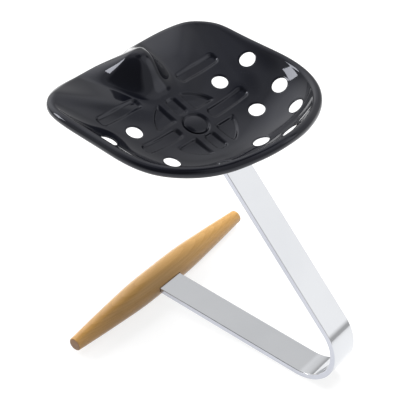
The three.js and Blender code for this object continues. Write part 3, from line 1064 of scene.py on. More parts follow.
    def upright(self, x: np.ndarray, y: np.ndarray, inward: float = 0.0) -> np.ndarray:
        """Gives the directions square to that face.

        Args:
            x: Places across.
            y: Places along.
            inward: How far towards the bolt they are taken, so that none is past the brim.

        Returns:
            Unit vectors.
        """
        step = self.slope_step
        keep = 1 - inward / np.maximum(np.hypot(x, y), step)
        x, y = x * keep, y * keep
        slope_x = (self.height(x + step, y) - self.height(x - step, y)) / (2 * step)
        slope_y = (self.height(x, y + step) - self.height(x, y - step)) / (2 * step)
        return unit(np.stack([-slope_x, -slope_y, np.ones_like(slope_x)], -1))

    def row_shares(self) -> np.ndarray:
        """Spaces the grid's rows, close together where the wall is steep.

        Returns:
            Shares of the way to the brim, from 0 to 1.
        """
        fine = np.linspace(0, 1, self.row_samples)
        high = self.wall_share(self.way_up(fine)) * self.back_height * self.row_wall_share
        steps = np.hypot(np.diff(fine) * self.half_width, np.diff(high))
        run = np.concatenate([[0], np.cumsum(steps)])
        count = int(run[-1] / self.row_step)
        return np.interp(np.linspace(0, run[-1], count), run, fine)

    def hole_places(self) -> list[Point]:
        """Gives the drain holes: an inner ring and an outer row, on both sides.

        Returns:
            x and y of their middles.
        """
        ring = [on_circle(0, 0, self.hole_ring_radius, angle) for angle in self.hole_ring_angles]
        row = [self.row_place((side, length, 0, 0))[:2] for side, length in self.outer_hole_shares]
        return [(flip * x, y) for x, y in [*ring, *row] for flip in (1, -1)]

    def rolled_edge(self, ends: np.ndarray) -> tuple[np.ndarray, np.ndarray]:
        """Carries the sheet on from the brim, over and under.

        Args:
            ends: The brim's x, y, height and lip share at each column.

        Returns:
            Points and directions square to them, one row for each step.
        """
        lip = ends[:, 3:]
        x, y = ends[:, 0], ends[:, 1]
        brim = self.on_face(x, y)
        along = unit(np.roll(brim, -1, 0) - np.roll(brim, 1, 0))
        out = unit(np.stack([along[:, 1], -along[:, 0], np.zeros(len(along))], -1))
        if (out[0] * brim[0]).sum() < 0:
            out = -out
        up = np.cross(out, along)
        up *= np.sign(up[:, 2:])
        face = self.upright(x, y, self.brim_margin)
        face -= along * (face * along).sum(1, keepdims=True)
        slope = np.arctan2(-(face * out).sum(1, keepdims=True), (face * up).sum(1, keepdims=True))
        radius = self.roll_radius + (self.front_roll_radius - self.roll_radius) * lip
        first = radius + (self.lip_radius - radius) * lip
        turn = np.radians(self.roll_turn + self.lip_turn * lip) / self.roll_steps
        points, normals = [], []
        place = brim
        for step in range(self.roll_steps):
            bend = first if step < self.lip_steps else radius
            after = slope - turn
            ahead, above = np.sin(slope) - np.sin(after), np.cos(after) - np.cos(slope)
            place = place + out * bend * ahead + up * bend * above
            slope = after
            points.append(place)
            normals.append(up * np.cos(slope) - out * np.sin(slope))
        return np.array(points), np.array(normals)

    def off_axis(self, at: np.ndarray, middle: np.ndarray, axis: np.ndarray) -> tuple[np.ndarray, np.ndarray]:
        """Measures how far places on the upper face are from a hole's axis.

        Args:
            at: Their x and y.
            middle: The hole's middle on that face.
            axis: The direction of its axis.

        Returns:
            Each place's distance from the axis, and its step across from it.
        """
        place = self.on_face(*at.T) - middle
        across = place - np.outer(place @ axis, axis)
        return np.linalg.norm(across, axis=1), across

    def punched(self, flat: np.ndarray, faces: np.ndarray,
                on_pan: np.ndarray) -> tuple[np.ndarray, list[tuple[int, ...]], np.ndarray]:
        """Opens the drain holes in the grid.

        Args:
            flat: x and y of the grid's points.
            faces: Its four-cornered faces.
            on_pan: Which points lie on the pan and not on the rolled edge.

        Returns:
            x and y with the holes' rims made round, the faces that are left, and each point's distance from the
            nearest hole.
        """
        flat = flat.copy()
        nearest = np.full(len(flat), np.inf)
        gone = np.zeros(len(faces), bool)
        spare: list[tuple[int, ...]] = []
        edges = np.unique(np.sort(np.vstack([faces[:, [a, (a + 1) % 4]] for a in range(4)]), axis=1), axis=0)
        for x, y in np.array(self.hole_places()):
            middle, axis = self.on_face(x, y), self.upright(x, y)
            near = on_pan & (np.hypot(*(flat - middle[:2]).T) < self.hole_search_share * self.hole_radius)
            distance = np.full(len(flat), np.inf)
            distance[near] = self.off_axis(flat[near], middle, axis)[0]
            inside = distance < self.hole_radius
            crossing = edges[inside[edges[:, 0]] != inside[edges[:, 1]]]
            closer = np.abs(distance[crossing] - self.hole_radius).argmin(1)
            rim = np.unique(crossing[np.arange(len(crossing)), closer])
            for _ in range(self.hole_rounds):
                length, across = self.off_axis(flat[rim], middle, axis)
                flat[rim] += (across * (self.hole_radius / length - 1)[:, None])[:, :2]
            distance[near] = self.off_axis(flat[near], middle, axis)[0]
            on_rim = np.zeros(len(flat), bool)
            on_rim[rim] = True
            inside &= ~on_rim
            drop = inside[faces].any(1)
            gone |= drop
            for face in faces[drop]:
                kept = [index for index in face if not inside[index]]
                if len(kept) == 3 and not on_rim[kept].all():
                    spare.append(tuple(kept))
            nearest = np.minimum(nearest, np.abs(distance - self.hole_radius))
        return flat, [*map(tuple, faces[~gone]), *spare], nearest

    def shape(self) -> Shape:
        """Builds the whole sheet: upper face, underside, rolled edge, and the walls of its holes.

        Returns:
            The closed shape.
        """
        even = np.linspace(0, self.walked[-1], self.columns, endpoint=False)
        ends = self.brim(np.interp(even, self.walked, self.walk))
        first = self.bolt_hole_radius / np.hypot(ends[:, 0], ends[:, 1])
        spread = first + self.row_shares()[:, None] * (1 - first)
        flat = (spread[..., None] * ends[:, :2]).reshape(-1, 2)
        rolled, rolled_normals = self.rolled_edge(ends)
        index = np.arange((len(spread) + len(rolled)) * self.columns).reshape(-1, self.columns)
        after = np.roll(index, -1, 1)
        faces = np.stack([index[:-1], index[1:], after[1:], after[:-1]], -1).reshape(-1, 4)
        on_pan = np.arange(index.size) < (len(spread) - 1) * self.columns
        grid = np.vstack([flat, rolled[..., :2].reshape(-1, 2)])
        grid, kept, nearest = self.punched(grid, faces, on_pan)
        x, y = grid[:len(flat)].T
        normal, surface = self.upright(x, y, self.brim_margin), self.on_face(x, y)
        rim_drop = self.hole_edge_drop * np.clip(1 - nearest[:len(flat)] / self.hole_edge_reach, 0, 1) ** 2
        under_drop = self.press.sunk(x, y, self.press.underside_growth) + self.thickness
        upper = surface - normal * (self.press.sunk(x, y) + rim_drop)[:, None]
        lower = surface - normal * under_drop[:, None]
        upper = np.vstack([upper, rolled.reshape(-1, 3)])
        lower = np.vstack([lower, (rolled - rolled_normals * self.thickness).reshape(-1, 3)])
        return self.closed(upper, lower, kept)

    def closed(self, upper: np.ndarray, lower: np.ndarray, faces: list[tuple[int, ...]]) -> Shape:
        """Joins the two faces of the sheet along every open edge and drops the points that nothing uses.

        Args:
            upper: Points of the upper face.
            lower: The same points of the underside.
            faces: Faces of the upper one.

        Returns:
            The closed shape.
        """
        shift = len(upper)
        one, two, three = upper[list(faces[0][:3])]
        if np.cross(two - one, three - one)[2] < 0:
            faces = [tuple(reversed(face)) for face in faces]
        directed = {(face[i], face[(i + 1) % len(face)]) for face in faces for i in range(len(face))}
        walls = [(b, a, a + shift, b + shift) for a, b in directed if (b, a) not in directed]
        under = [tuple(index + shift for index in reversed(face)) for face in faces]
        every = [*faces, *under, *sorted(walls)]
        used = np.unique(np.concatenate([np.asarray(face) for face in every]))
        place = np.full(2 * shift, -1)
        place[used] = np.arange(len(used))
        points = np.vstack([upper, lower])[used]
        return Shape(points, [tuple(int(place[index]) for index in face) for face in every])

    def build(self, place: Matrix, finishes: Finishes) -> None:
        """Makes the pan and dresses it."""
        pan = self.shape().piece("pan", [finishes.enamel], self.crease)
        fit_out(pan, Body.SEAT, "seat_pan", place)


# Bolt, washers and nut


@dataclass(frozen=True)
class Stack:
    """Heights of what the bolt holds, from the pan's middle."""

    head_floor: float = -0.0037
    neck_end: float = -0.0065
    strip_top: float = -0.0068
    washer: Span = (-0.0199, -0.0179)
    spring: Span = (-0.0228, -0.0202)
    nut: Span = (-0.0331, -0.0231)
    bolt_end: float = -0.0421


@dataclass
class SeatBolt:
    """A carriage bolt: a low domed head in the pan's dimple, a square neck and a threaded shank.

    A row of tip_steps is a ring of the tip: how far it lies inside the shank's face and above the bolt's end.
    """

    stack: Stack
    head_radius: float = 0.021
    edge_height: float = 0.002
    edge_round: float = 0.0009
    edge_end_angle: float = 70.0
    under_round: float = 0.0004
    dome_rise: float = 0.002
    dome_power: float = 2.6
    dome_shares: Span = (0.96, 0.02)
    dome_steps: int = 22
    neck_side: float = 0.012
    neck_round: float = 0.0008
    neck_overlap: float = 0.0002
    shank_radius: float = 0.005
    shank_overlap: float = 0.0003
    shank_margin: float = 0.0001
    tip_steps: tuple[Point, ...] = ((0.0009, 0.0), (0.0004, 0.0004))
    thread_start: float = 0.0008
    thread_pitch: float = 0.0015
    thread_depth: float = 0.00085
    thread_rows: int = 9
    crest_gain: float = 1.25
    crest_loss: float = 0.1
    fade_in: float = 0.001
    fade_out: float = 0.002
    plain_length: float = 0.003
    enamel_margin: float = 0.0001
    head_sides: int = 96
    shank_sides: int = 48
    crease: float = 35.0

    def head(self) -> Shape:
        """Turns the head, whose dome falls away towards the edge.

        Returns:
            The closed shape.
        """
        floor = self.stack.head_floor
        top = floor + self.edge_height
        inner, under = self.head_radius - self.edge_round, self.under_round
        edge = rounded_corner(inner, top - self.edge_round, self.edge_round, 0, self.edge_end_angle, steps=5)
        lower = rounded_corner(self.head_radius - under, floor + under, under, -90, 0, steps=3)
        dome = [(share * self.head_radius, top + self.dome_rise * (1 - share ** self.dome_power))
                for share in np.linspace(*self.dome_shares, self.dome_steps)]
        start, end = [(0, floor), (AXIS_RING, floor)], (0, top + self.dome_rise)
        return lathe([*start, *lower, *edge, *dome, end], self.head_sides)

    def neck(self) -> Shape:
        """Builds the square neck with broken corners.

        Returns:
            The closed shape.
        """
        half = self.neck_side / 2 - self.neck_round
        outline: Profile = []
        for quarter, (x, y) in enumerate([(half, half), (-half, half), (-half, -half), (half, -half)]):
            outline += rounded_corner(x, y, self.neck_round, 90 * quarter, 90 * quarter + 90, steps=4)
        low, high = self.stack.neck_end, self.stack.head_floor + self.neck_overlap
        return skin([(x, y, z) for z in (low, high) for x, y in outline], len(outline))

    def thread(self, radius: np.ndarray, angle: np.ndarray, height: np.ndarray) -> np.ndarray:
        """Cuts the thread, which runs out below the neck.

        Args:
            radius: Radii of the plain shank.
            angle: Their angles.
            height: Their heights.

        Returns:
            The radii with the thread.
        """
        wave = thread_wave(angle, height, self.thread_pitch)
        crest = np.clip(wave * self.crest_gain - self.crest_loss, 0, 1)
        plain = self.stack.neck_end + self.shank_overlap - self.plain_length
        fade = np.clip((plain - height) / self.fade_out, 0, 1)
        fade = fade * np.clip((height - self.stack.bolt_end) / self.fade_in, 0, 1)
        cut = (1 - crest) * self.thread_depth * fade
        return radius - np.where(radius > self.shank_radius - self.shank_margin, cut, 0)

    def shank(self) -> Shape:
        """Turns the shank.

        Returns:
            The closed shape.
        """
        end, start = self.stack.bolt_end, self.stack.neck_end + self.shank_overlap
        tip = [(self.shank_radius - inset, end + rise) for inset, rise in self.tip_steps]
        heights = [*np.arange(end + self.thread_start, start, self.thread_pitch / self.thread_rows), start]
        rows = [(self.shank_radius, height) for height in heights]
        return lathe([(0, end), (AXIS_RING, end), *tip, *rows, (0, start)], self.shank_sides, flute=self.thread)

    def build(self, place: Matrix, finishes: Finishes) -> None:
        """Makes the bolt: enamelled head, plated shank.

        Args:
            place: Where the pan's coordinates lie in the frame.
            finishes: The finishes.
        """
        shape = self.head().joined(self.neck()).joined(self.shank())
        bolt = shape.piece("carriage_bolt", [finishes.enamel, finishes.zinc], self.crease)
        limit = self.stack.head_floor - self.enamel_margin
        for face in bolt.data.polygons:
            face.material_index = 1 if face.center.z < limit else 0
        fit_out(bolt, Body.SEAT, "seat_bolt", place)


@dataclass
class Washers:
    """A flat washer and a split spring washer."""

    stack: Stack
    flat_radius: float = 0.012
    spring_radius: float = 0.0095
    bore_radius: float = 0.0055
    edge_round: float = 0.0004
    split: float = 0.002
    spring_lift: float = 0.0006
    sides: int = 96
    crease: float = 50.0

    def section(self, inner: float, outer: float, low: float, high: float) -> Profile:
        """Gives a ring's section with broken corners.

        Args:
            inner: Bore radius.
            outer: Outer radius.
            low: Its underside.
            high: Its upper side.

        Returns:
            A loop of (radius, height) points.
        """
        r = self.edge_round
        corners = ((outer - r, low + r, -90), (outer - r, high - r, 0), (inner + r, high - r, 90),
                   (inner + r, low + r, 180))
        return [point for x, y, start in corners for point in rounded_corner(x, y, r, start, start + 90, steps=3)]

    def flat(self) -> Shape:
        """Turns the flat washer."""
        return lathe(self.section(self.bore_radius, self.flat_radius, *self.stack.washer), self.sides, closed=True)

    def spring(self) -> Shape:
        """Winds the spring washer: one turn, open by the split, its ends set a little up and down.

        Returns:
            The closed shape.
        """
        low, high = self.stack.spring
        half = self.spring_lift / 2
        section = self.section(self.bore_radius, self.spring_radius, low + half, high - half)[::-1]
        gap = self.split / (self.bore_radius + self.spring_radius)
        points: list[Place] = []
        for share in np.linspace(0, 1, self.sides):
            angle = math.pi / 2 + gap + share * (FULL_TURN - 2 * gap)
            lift = self.spring_lift * (share - 0.5)
            points += [(r * math.cos(angle), r * math.sin(angle), z + lift) for r, z in section]
        return skin(points, len(section))

    def build(self, place: Matrix, finishes: Finishes) -> None:
        """Makes both washers.

        Args:
            place: Where the pan's coordinates lie in the frame.
            finishes: The finishes.
        """
        flat = self.flat().piece("plain_washer", [finishes.zinc], self.crease)
        fit_out(flat, Body.WASHERS, "flat_washer", place)
        spring = self.spring().piece("split_washer", [finishes.zinc], self.crease)
        fit_out(spring, Body.WASHERS, "spring_washer", place)


@dataclass
class WingNut:
    """A cast wing nut, its wings pointing down the bolt and run softly into the hub."""

    stack: Stack
    hub_radius: float = 0.009
    hub_end_radius: float = 0.0075
    hub_round: float = 0.0006
    land: float = 0.004
    bore_radius: float = 0.0053
    wing_reach: float = 0.025
    wing_drop: float = 0.019
    wing_overlap: float = 0.0015
    wing_thickness: float = 0.0038
    tip_radius: float = 0.006
    tip_angles: Span = (60.0, -135.0)
    tip_steps: int = 20
    root_top: float = 0.002
    root_end: float = 0.0085
    grain: float = 0.00045
    soft_factor: float = 0.5
    soft_rounds: int = 5
    hub_sides: int = 64
    bore_sides: int = 48
    crease: float = 55.0

    def wing(self, flip: int) -> Shape:
        """Builds one wing as a flat plate that reaches into the hub.

        Args:
            flip: 1 for the wing on +X, -1 for the other.

        Returns:
            The closed shape.
        """
        top = self.stack.nut[1]
        x, z = self.wing_reach - self.tip_radius, top - self.wing_drop + self.tip_radius
        tip = rounded_corner(x, z, self.tip_radius, *self.tip_angles, self.tip_steps)
        inner = self.hub_end_radius - self.wing_overlap
        outline = [(inner, top - self.root_top), *tip, (inner, top - self.root_end)]
        half = self.wing_thickness / 2
        return skin([(flip * x, side * flip * half, z) for side in (1, -1) for x, z in outline], len(outline))

    def hub(self) -> Shape:
        """Turns the hub.

        Returns:
            The closed shape.
        """
        low, high = self.stack.nut
        r = self.hub_round
        end = [(0, low), (AXIS_RING, low), (self.hub_end_radius - r, low), (self.hub_end_radius, low + r)]
        side = [(self.hub_radius, high - self.land), (self.hub_radius, high - r)]
        return lathe([*end, *side, (self.hub_radius - r, high), (AXIS_RING, high), (0, high)], self.hub_sides)

    def build(self, place: Matrix, finishes: Finishes) -> None:
        """Makes the nut: hub and wings melted together, then bored.

        Args:
            place: Where the pan's coordinates lie in the frame.
            finishes: The finishes.
        """
        nut = self.hub().piece("wing_nut_cast", [finishes.zinc])
        combine(nut, Change.ADD, self.wing(1), self.wing(-1))
        cast = nut.modifiers.new("cast", "REMESH")
        cast.mode, cast.voxel_size = "VOXEL", self.grain
        soft = nut.modifiers.new("soft", "SMOOTH")
        soft.factor, soft.iterations = self.soft_factor, self.soft_rounds
        bake_modifiers(nut)
        low, high = self.stack.nut
        combine(nut, Change.CUT, rod(self.bore_radius, low - CUT_OVERRUN, high + CUT_OVERRUN, self.bore_sides))
        self.keep_height(nut)
        smooth(nut.data, self.crease)
        fit_out(nut, Body.WING_NUT, "wing_nut", place)

    def keep_height(self, nut: bpy.types.Object) -> None:
        """Holds the hub's faces at their planes, so that the nut stays clear of the washer.

        Args:
            nut: The nut, in the pan's coordinates.
        """
        low, high = self.stack.nut
        for vertex in nut.data.vertices:
            if math.hypot(vertex.co.x, vertex.co.y) < self.hub_radius:
                vertex.co.z = min(high, max(vertex.co.z, low))


# The strip


@dataclass
class Stem:
    """One flat strip, from its end in the footrest round the big bend to the pad under the pan.

    A face that looks along X by more than side_share is one of its two edges.
    """

    seat: SeatPlace
    stack: Stack
    width: float = 0.060
    thickness: float = 0.0108
    corner: float = 0.0011
    least_corner: float = 0.0002
    corner_support: float = 0.0005
    end_round_share: float = 0.7
    end_angles: tuple[float, ...] = (0.0, 22.0, 45.0, 68.0, 90.0)
    bend_inner_radius: float = 0.070
    bend_behind_foot: float = 0.355
    lower_rise: float = 2.9
    pad_bend_inner_radius: float = 0.042
    pad_behind_bolt: float = 0.080
    pad_ahead_of_bolt: float = 0.042
    end_ahead_of_foot: float = 0.0195
    bolt_hole_radius: float = 0.0055
    bolt_hole_reach: float = 0.03
    bolt_hole_sides: int = 48
    screw_hole_radius: float = 0.0033
    screw_hole_reach: float = 0.05
    screw_hole_sides: int = 32
    screw_spacing: float = 0.034
    straight_step: float = 0.02
    arc_step: float = 2.0
    crease: float = 35.0
    side_share: float = 0.9

    @staticmethod
    def forward(slope: float) -> np.ndarray:
        """Gives the (y, z) direction to the front along a slope in degrees."""
        return np.array([-math.cos(math.radians(slope)), math.sin(math.radians(slope))])

    @staticmethod
    def upward(slope: float) -> np.ndarray:
        """Gives the (y, z) direction square to that slope."""
        return np.array([math.sin(math.radians(slope)), math.cos(math.radians(slope))])

    def path(self) -> tuple[np.ndarray, np.ndarray]:
        """Follows the strip's outer face from the footrest to the pad's end.

        Returns:
            (y, z) points and the outward directions there.
        """
        outer = self.bend_inner_radius + self.thickness
        centre = np.array([self.bend_behind_foot, outer])
        pad_forward, pad_up = self.forward(self.seat.slope), self.upward(self.seat.slope)
        under_pan = np.array([self.seat.behind_foot, self.seat.height]) + pad_up * self.stack.strip_top
        corner = under_pan - pad_forward * self.pad_behind_bolt
        to_bend = centre - corner
        slope = math.degrees(math.atan2(-to_bend[1], to_bend[0]) - math.asin(outer / np.linalg.norm(to_bend)))
        arm_forward, arm_up = self.forward(slope), self.upward(slope)
        pad_outer = self.pad_bend_inner_radius + self.thickness
        tangent = pad_outer * math.tan(math.radians(slope - self.seat.slope) / 2)
        pad_centre = corner - arm_forward * tangent - arm_up * pad_outer
        low_up, low_forward = self.upward(self.lower_rise), self.forward(self.lower_rise)
        low_start = centre - low_up * outer
        low_end = low_start + low_forward * (low_start[0] + self.end_ahead_of_foot) / -low_forward[0]
        lower_arm = self.straight(low_end, low_start, -low_up)
        bend = self.arc(centre, outer, math.degrees(math.atan2(-low_up[1], -low_up[0])), 90 - slope)
        pad_bend = self.arc(pad_centre, pad_outer, 90 - slope, 90 - self.seat.slope)
        upper_arm = self.straight(bend[0][-1], pad_bend[0][0], arm_up)
        pad = self.straight(pad_bend[0][-1], under_pan + pad_forward * self.pad_ahead_of_bolt, pad_up)
        points, outs = (np.array([*first, *second, *third[1:-1], *fourth, *fifth[1:]])
                        for first, second, third, fourth, fifth in zip(lower_arm, bend, upper_arm, pad_bend, pad))
        return points, outs

    def arc(self, middle: np.ndarray, radius: float, start: float, end: float) -> Run:
        """Divides a bend.

        Args:
            middle: Its centre.
            radius: Its radius.
            start: First angle in degrees.
            end: Last angle in degrees.

        Returns:
            The points and the outward direction for each.
        """
        steps = max(2, round((end - start) / self.arc_step))
        outs = [np.array(on_circle(0, 0, 1, angle)) for angle in np.linspace(start, end, steps + 1)]
        return [middle + radius * out for out in outs], outs

    def straight(self, start: np.ndarray, end: np.ndarray, out: np.ndarray) -> Run:
        """Divides a straight run.

        Args:
            start: Its first point.
            end: Its last point.
            out: The outward direction.

        Returns:
            The points and that direction for each.
        """
        count = max(2, int(np.linalg.norm(end - start) / self.straight_step))
        return [start + (end - start) * t for t in np.linspace(0, 1, count + 1)], [out] * (count + 1)

    def section(self, inset: float) -> Profile:
        """Gives the strip's section, with broken corners and a support line on both sides of each.

        Args:
            inset: How much smaller it is all round, at the ends.

        Returns:
            A loop of (across, depth below the outer face) points.
        """
        r = max(self.least_corner, self.corner - inset)
        side, low, high = self.width / 2 - inset - r, self.thickness - inset - r, inset + r
        loop: Profile = []
        for x, y, start in ((side, low, 0), (-side, low, 90), (-side, high, 180), (side, high, 270)):
            arc = rounded_corner(x, y, r, start, start + 90, steps=5)
            before = on_circle(*arc[0], self.corner_support, start - 90)
            after = on_circle(*arc[-1], self.corner_support, start + 180)
            loop += [before, *arc, after]
        return loop

    def rounding(self, tip: np.ndarray, before: np.ndarray,
                 out: np.ndarray) -> list[tuple[np.ndarray, np.ndarray, float]]:
        """Rounds one of the strip's ends over.

        Args:
            tip: The path's point there.
            before: The path's point next to it.
            out: The outward direction.

        Returns:
            A place, its outward direction and its inset for each ring, the tip's last.
        """
        ahead = unit(tip - before)
        size = self.corner * self.end_round_share
        return [(tip + ahead * size * (math.sin(a) - 1), out, size * (1 - math.cos(a)))
                for a in np.radians(self.end_angles)]

    def shape(self) -> Shape:
        """Sweeps the section along the strip.

        Returns:
            The closed shape.
        """
        path, outs = self.path()
        first = self.rounding(path[0], path[1], outs[0])[::-1]
        last = self.rounding(path[-1], path[-2], outs[-1])
        points: list[Place] = []
        for place, out, inset in [*first, *((p, o, 0.0) for p, o in zip(path[1:-1], outs[1:-1])), *last]:
            points += [(x, *(place - out * depth)) for x, depth in self.section(inset)]
        return skin(points, len(self.section(0.0)))

    def build(self, finishes: Finishes) -> None:
        """Makes the strip, bored for the bolt and the two screws, with duller edges.

        Args:
            finishes: The finishes.
        """
        strip = self.shape().piece("bent_strip", [finishes.chrome, finishes.chrome_edge])
        lean = np.array(self.seat.matrix())
        bore = rod(self.bolt_hole_radius, -self.bolt_hole_reach, 0, self.bolt_hole_sides)
        bore.points = bore.points @ lean[:3, :3].T + lean[:3, 3]
        hole = rod(self.screw_hole_radius, 0, self.screw_hole_reach, self.screw_hole_sides)
        combine(strip, Change.CUT, bore, *hole.pair(self.screw_spacing))
        smooth(strip.data, self.crease)
        for face in strip.data.polygons:
            face.material_index = int(abs(face.normal.x) > self.side_share)
        fit_out(strip, Body.BASE, "stem")


# The footrest


@dataclass(frozen=True)
class WoodScrew:
    """A slotted wood screw, its head down in the wood's flat.

    A row of taper_shares is a ring of the tip: shares of the radius and of the way up the taper.
    """

    radius: float = 0.003
    head_radius: float = 0.0055
    head_height: float = 0.004
    head_round: float = 0.0005
    sink: float = 0.002
    tip: float = 0.0367
    taper: float = 0.004
    taper_shares: tuple[Point, ...] = ((0.95, 0.1), (0.75, 0.4), (0.45, 0.75), (0.15, 0.97))
    thread_start: float = 0.0006
    thread_pitch: float = 0.0022
    thread_depth: float = 0.0007
    groove_gain: float = 1.6
    row_start: float = 0.0008
    row_step: float = 0.00025
    radius_margin: float = 0.00001
    slot_width: float = 0.0012
    slot_depth: float = 0.0014
    slot_reach_share: float = 1.5
    sides: int = 48
    hole_sides: int = 32
    crease: float = 40.0

    def head_top(self) -> float:
        """Gives the height where the head ends and the shank starts."""
        return self.sink + self.head_height

    def hole(self, gap: float) -> Shape:
        """Gives the hole that the screw sits in.

        Args:
            gap: How much wider than the screw it is.

        Returns:
            The closed shape.
        """
        shank, wide = self.radius + gap, self.head_radius + gap
        top, head, low = self.tip + gap, self.head_top() + gap, -CUT_OVERRUN
        return lathe([(0, low), (wide, low), (wide, head), (shank, head), (shank, top), (0, top)], self.hole_sides)

    def thread(self, radius: np.ndarray, angle: np.ndarray, height: np.ndarray) -> np.ndarray:
        """Cuts the wood thread.

        Args:
            radius: Radii of the plain screw.
            angle: Their angles.
            height: Their heights.

        Returns:
            The radii with the thread.
        """
        wave = thread_wave(angle, height, self.thread_pitch)
        groove = self.thread_depth * np.clip(wave * self.groove_gain, 0, 1)
        on_shank = np.abs(radius - self.radius) < self.radius_margin
        return radius - np.where(on_shank & (height > self.head_top() + self.thread_start), groove, 0)

    def build(self, name: str, x: float, finishes: Finishes) -> None:
        """Makes the screw.

        Args:
            name: Its side's name.
            x: Where it stands across the wood.
            finishes: The finishes.
        """
        low, head, r, edge = self.sink, self.head_top(), self.head_round, self.head_radius
        rim = [*rounded_corner(edge - r, low + r, r, -90, 0, steps=3), (edge, head - r), (edge - r, head)]
        heights = [head, *np.arange(head + self.row_start, self.tip - self.taper, self.row_step)]
        taper = [(self.radius * share, self.tip - self.taper * (1 - way)) for share, way in self.taper_shares]
        profile = [(0, low), (AXIS_RING, low), *rim, *((self.radius, z) for z in heights), *taper, (0, self.tip)]
        shape = lathe(profile, self.sides, flute=self.thread)
        screw = shape.piece(f"wood_screw_{name}", [finishes.zinc], self.crease)
        half, reach = self.slot_width / 2, edge * self.slot_reach_share
        slot = block((-half, -reach, low - CUT_OVERRUN), (half, reach, low + self.slot_depth))
        combine(screw, Change.CUT, slot)
        smooth(screw.data, self.crease)
        place = Matrix.Translation((x, 0, 0))
        fit_out(screw, Body.BASE, f"footrest_screw_{name}", place)


@dataclass
class Footrest:
    """A turned spindle with a flat underside, mortised for the strip and screwed to it from below.

    A row of radius_shares is a place along half of it, from the middle out: shares of that half and of the radius.
    """

    stem: Stem
    screw: WoodScrew = field(default_factory=WoodScrew)
    length: float = 0.490
    radius: float = 0.0275
    below_share: float = 0.77
    radius_shares: tuple[Point, ...] = (
        (0, 1), (0.14, 0.998), (0.28, 0.975), (0.42, 0.905), (0.56, 0.81), (0.72, 0.7), (0.86, 0.59), (1, 0.485))
    end_round: float = 0.0025
    end_rings: tuple[float, ...] = (0.75, 0.5, 0.25)
    gap: float = 0.0003
    mortise_gap: float = 0.0007
    mortise_behind: float = 0.0825
    strip_underside: float = 0.018
    profile_steps: int = 150
    sides: int = 128
    crease: float = 32.0

    def profile(self) -> Profile:
        """Runs from one end to the other, smooth through the table and rounded at the ends.

        Returns:
            (radius, place along) points.
        """
        half = self.length / 2
        shares = np.array(self.radius_shares)
        places, radii = shares[:, 0] * half, shares[:, 1] * self.radius
        inner = half - self.end_round
        along = np.linspace(-inner, inner, self.profile_steps)
        both, around = np.concatenate([-places[:0:-1], places]), np.concatenate([radii[:0:-1], radii])
        middle = natural_spline(both, around, along)
        start = middle[-1] - self.end_round
        right = [(start + r, inner + z) for r, z in rounded_corner(0, 0, self.end_round, 0, 90, steps=7)[1:]]
        right += [(start * share, half) for share in self.end_rings]
        left = [(r, -z) for r, z in reversed(right)]
        return [(0, -half), *left, *zip(middle, along), *right, (0, half)]

    def wood(self, finishes: Finishes) -> None:
        """Turns the spindle and cuts its flat, its mortise and its screw holes.

        Args:
            finishes: The finishes.
        """
        shape = lathe(self.profile(), self.sides)
        x, y, z = shape.points.T
        shape.points = np.column_stack([z, x, y + self.radius * self.below_share])
        wood = shape.piece("spindle", [finishes.beech])
        far = self.length
        holes = self.screw.hole(self.gap).pair(self.stem.screw_spacing)
        combine(wood, Change.CUT, block((-far, -far, -far), (far, far, 0)), self.mortise(), *holes)
        smooth(wood.data, self.crease)
        fit_out(wood, Body.BASE, "footrest")

    def mortise(self) -> Shape:
        """Gives the slot for the strip, open at the back.

        Returns:
            The closed shape.
        """
        rise = math.radians(self.stem.lower_rise)
        half = self.stem.width / 2 + self.mortise_gap
        low = (-half, -self.stem.end_ahead_of_foot - self.gap, -self.gap)
        shape = block(low, (half, self.mortise_behind, self.stem.thickness + self.mortise_gap))
        x, y, z = shape.points.T
        shape.points = np.column_stack([x, y, z / math.cos(rise) - y * math.tan(rise) + self.strip_underside])
        return shape

    def build(self, finishes: Finishes) -> None:
        """Makes the spindle and its two screws.

        Args:
            finishes: The finishes.
        """
        self.wood(finishes)
        for name, side in (("left", 1), ("right", -1)):
            self.screw.build(name, side * self.stem.screw_spacing / 2, finishes)


# The studio


def towards(azimuth: float, elevation: float) -> Vector:
    """Gives a direction.

    Args:
        azimuth: Degrees from the front towards the sitter's left.
        elevation: Degrees above the floor.

    Returns:
        The direction, of length 1.
    """
    a, e = math.radians(azimuth), math.radians(elevation)
    return Vector((math.sin(a) * math.cos(e), -math.cos(a) * math.cos(e), math.sin(e)))


def grey(tone: float) -> tuple[float, float, float, float]:
    """Gives an even grey."""
    return opaque((tone, tone, tone))


@dataclass(frozen=True)
class Softbox:
    """A soft lamp, aimed at a place."""

    name: str
    place: Place
    aim: Place
    width: float
    height: float
    watts: float
    mirrored: bool = True

    def build(self) -> None:
        """Makes the lamp."""
        lamp = bpy.data.lights.new(self.name, "AREA")
        lamp.shape, lamp.size, lamp.size_y, lamp.energy = "RECTANGLE", self.width, self.height, self.watts
        made = bpy.data.objects.new(self.name, lamp)
        bpy.context.scene.collection.objects.link(made)
        made.location = self.place
        made.rotation_mode = "QUATERNION"
        made.rotation_quaternion = (Vector(self.place) - Vector(self.aim)).to_track_quat("Z", "Y")
        made.visible_glossy = self.mirrored


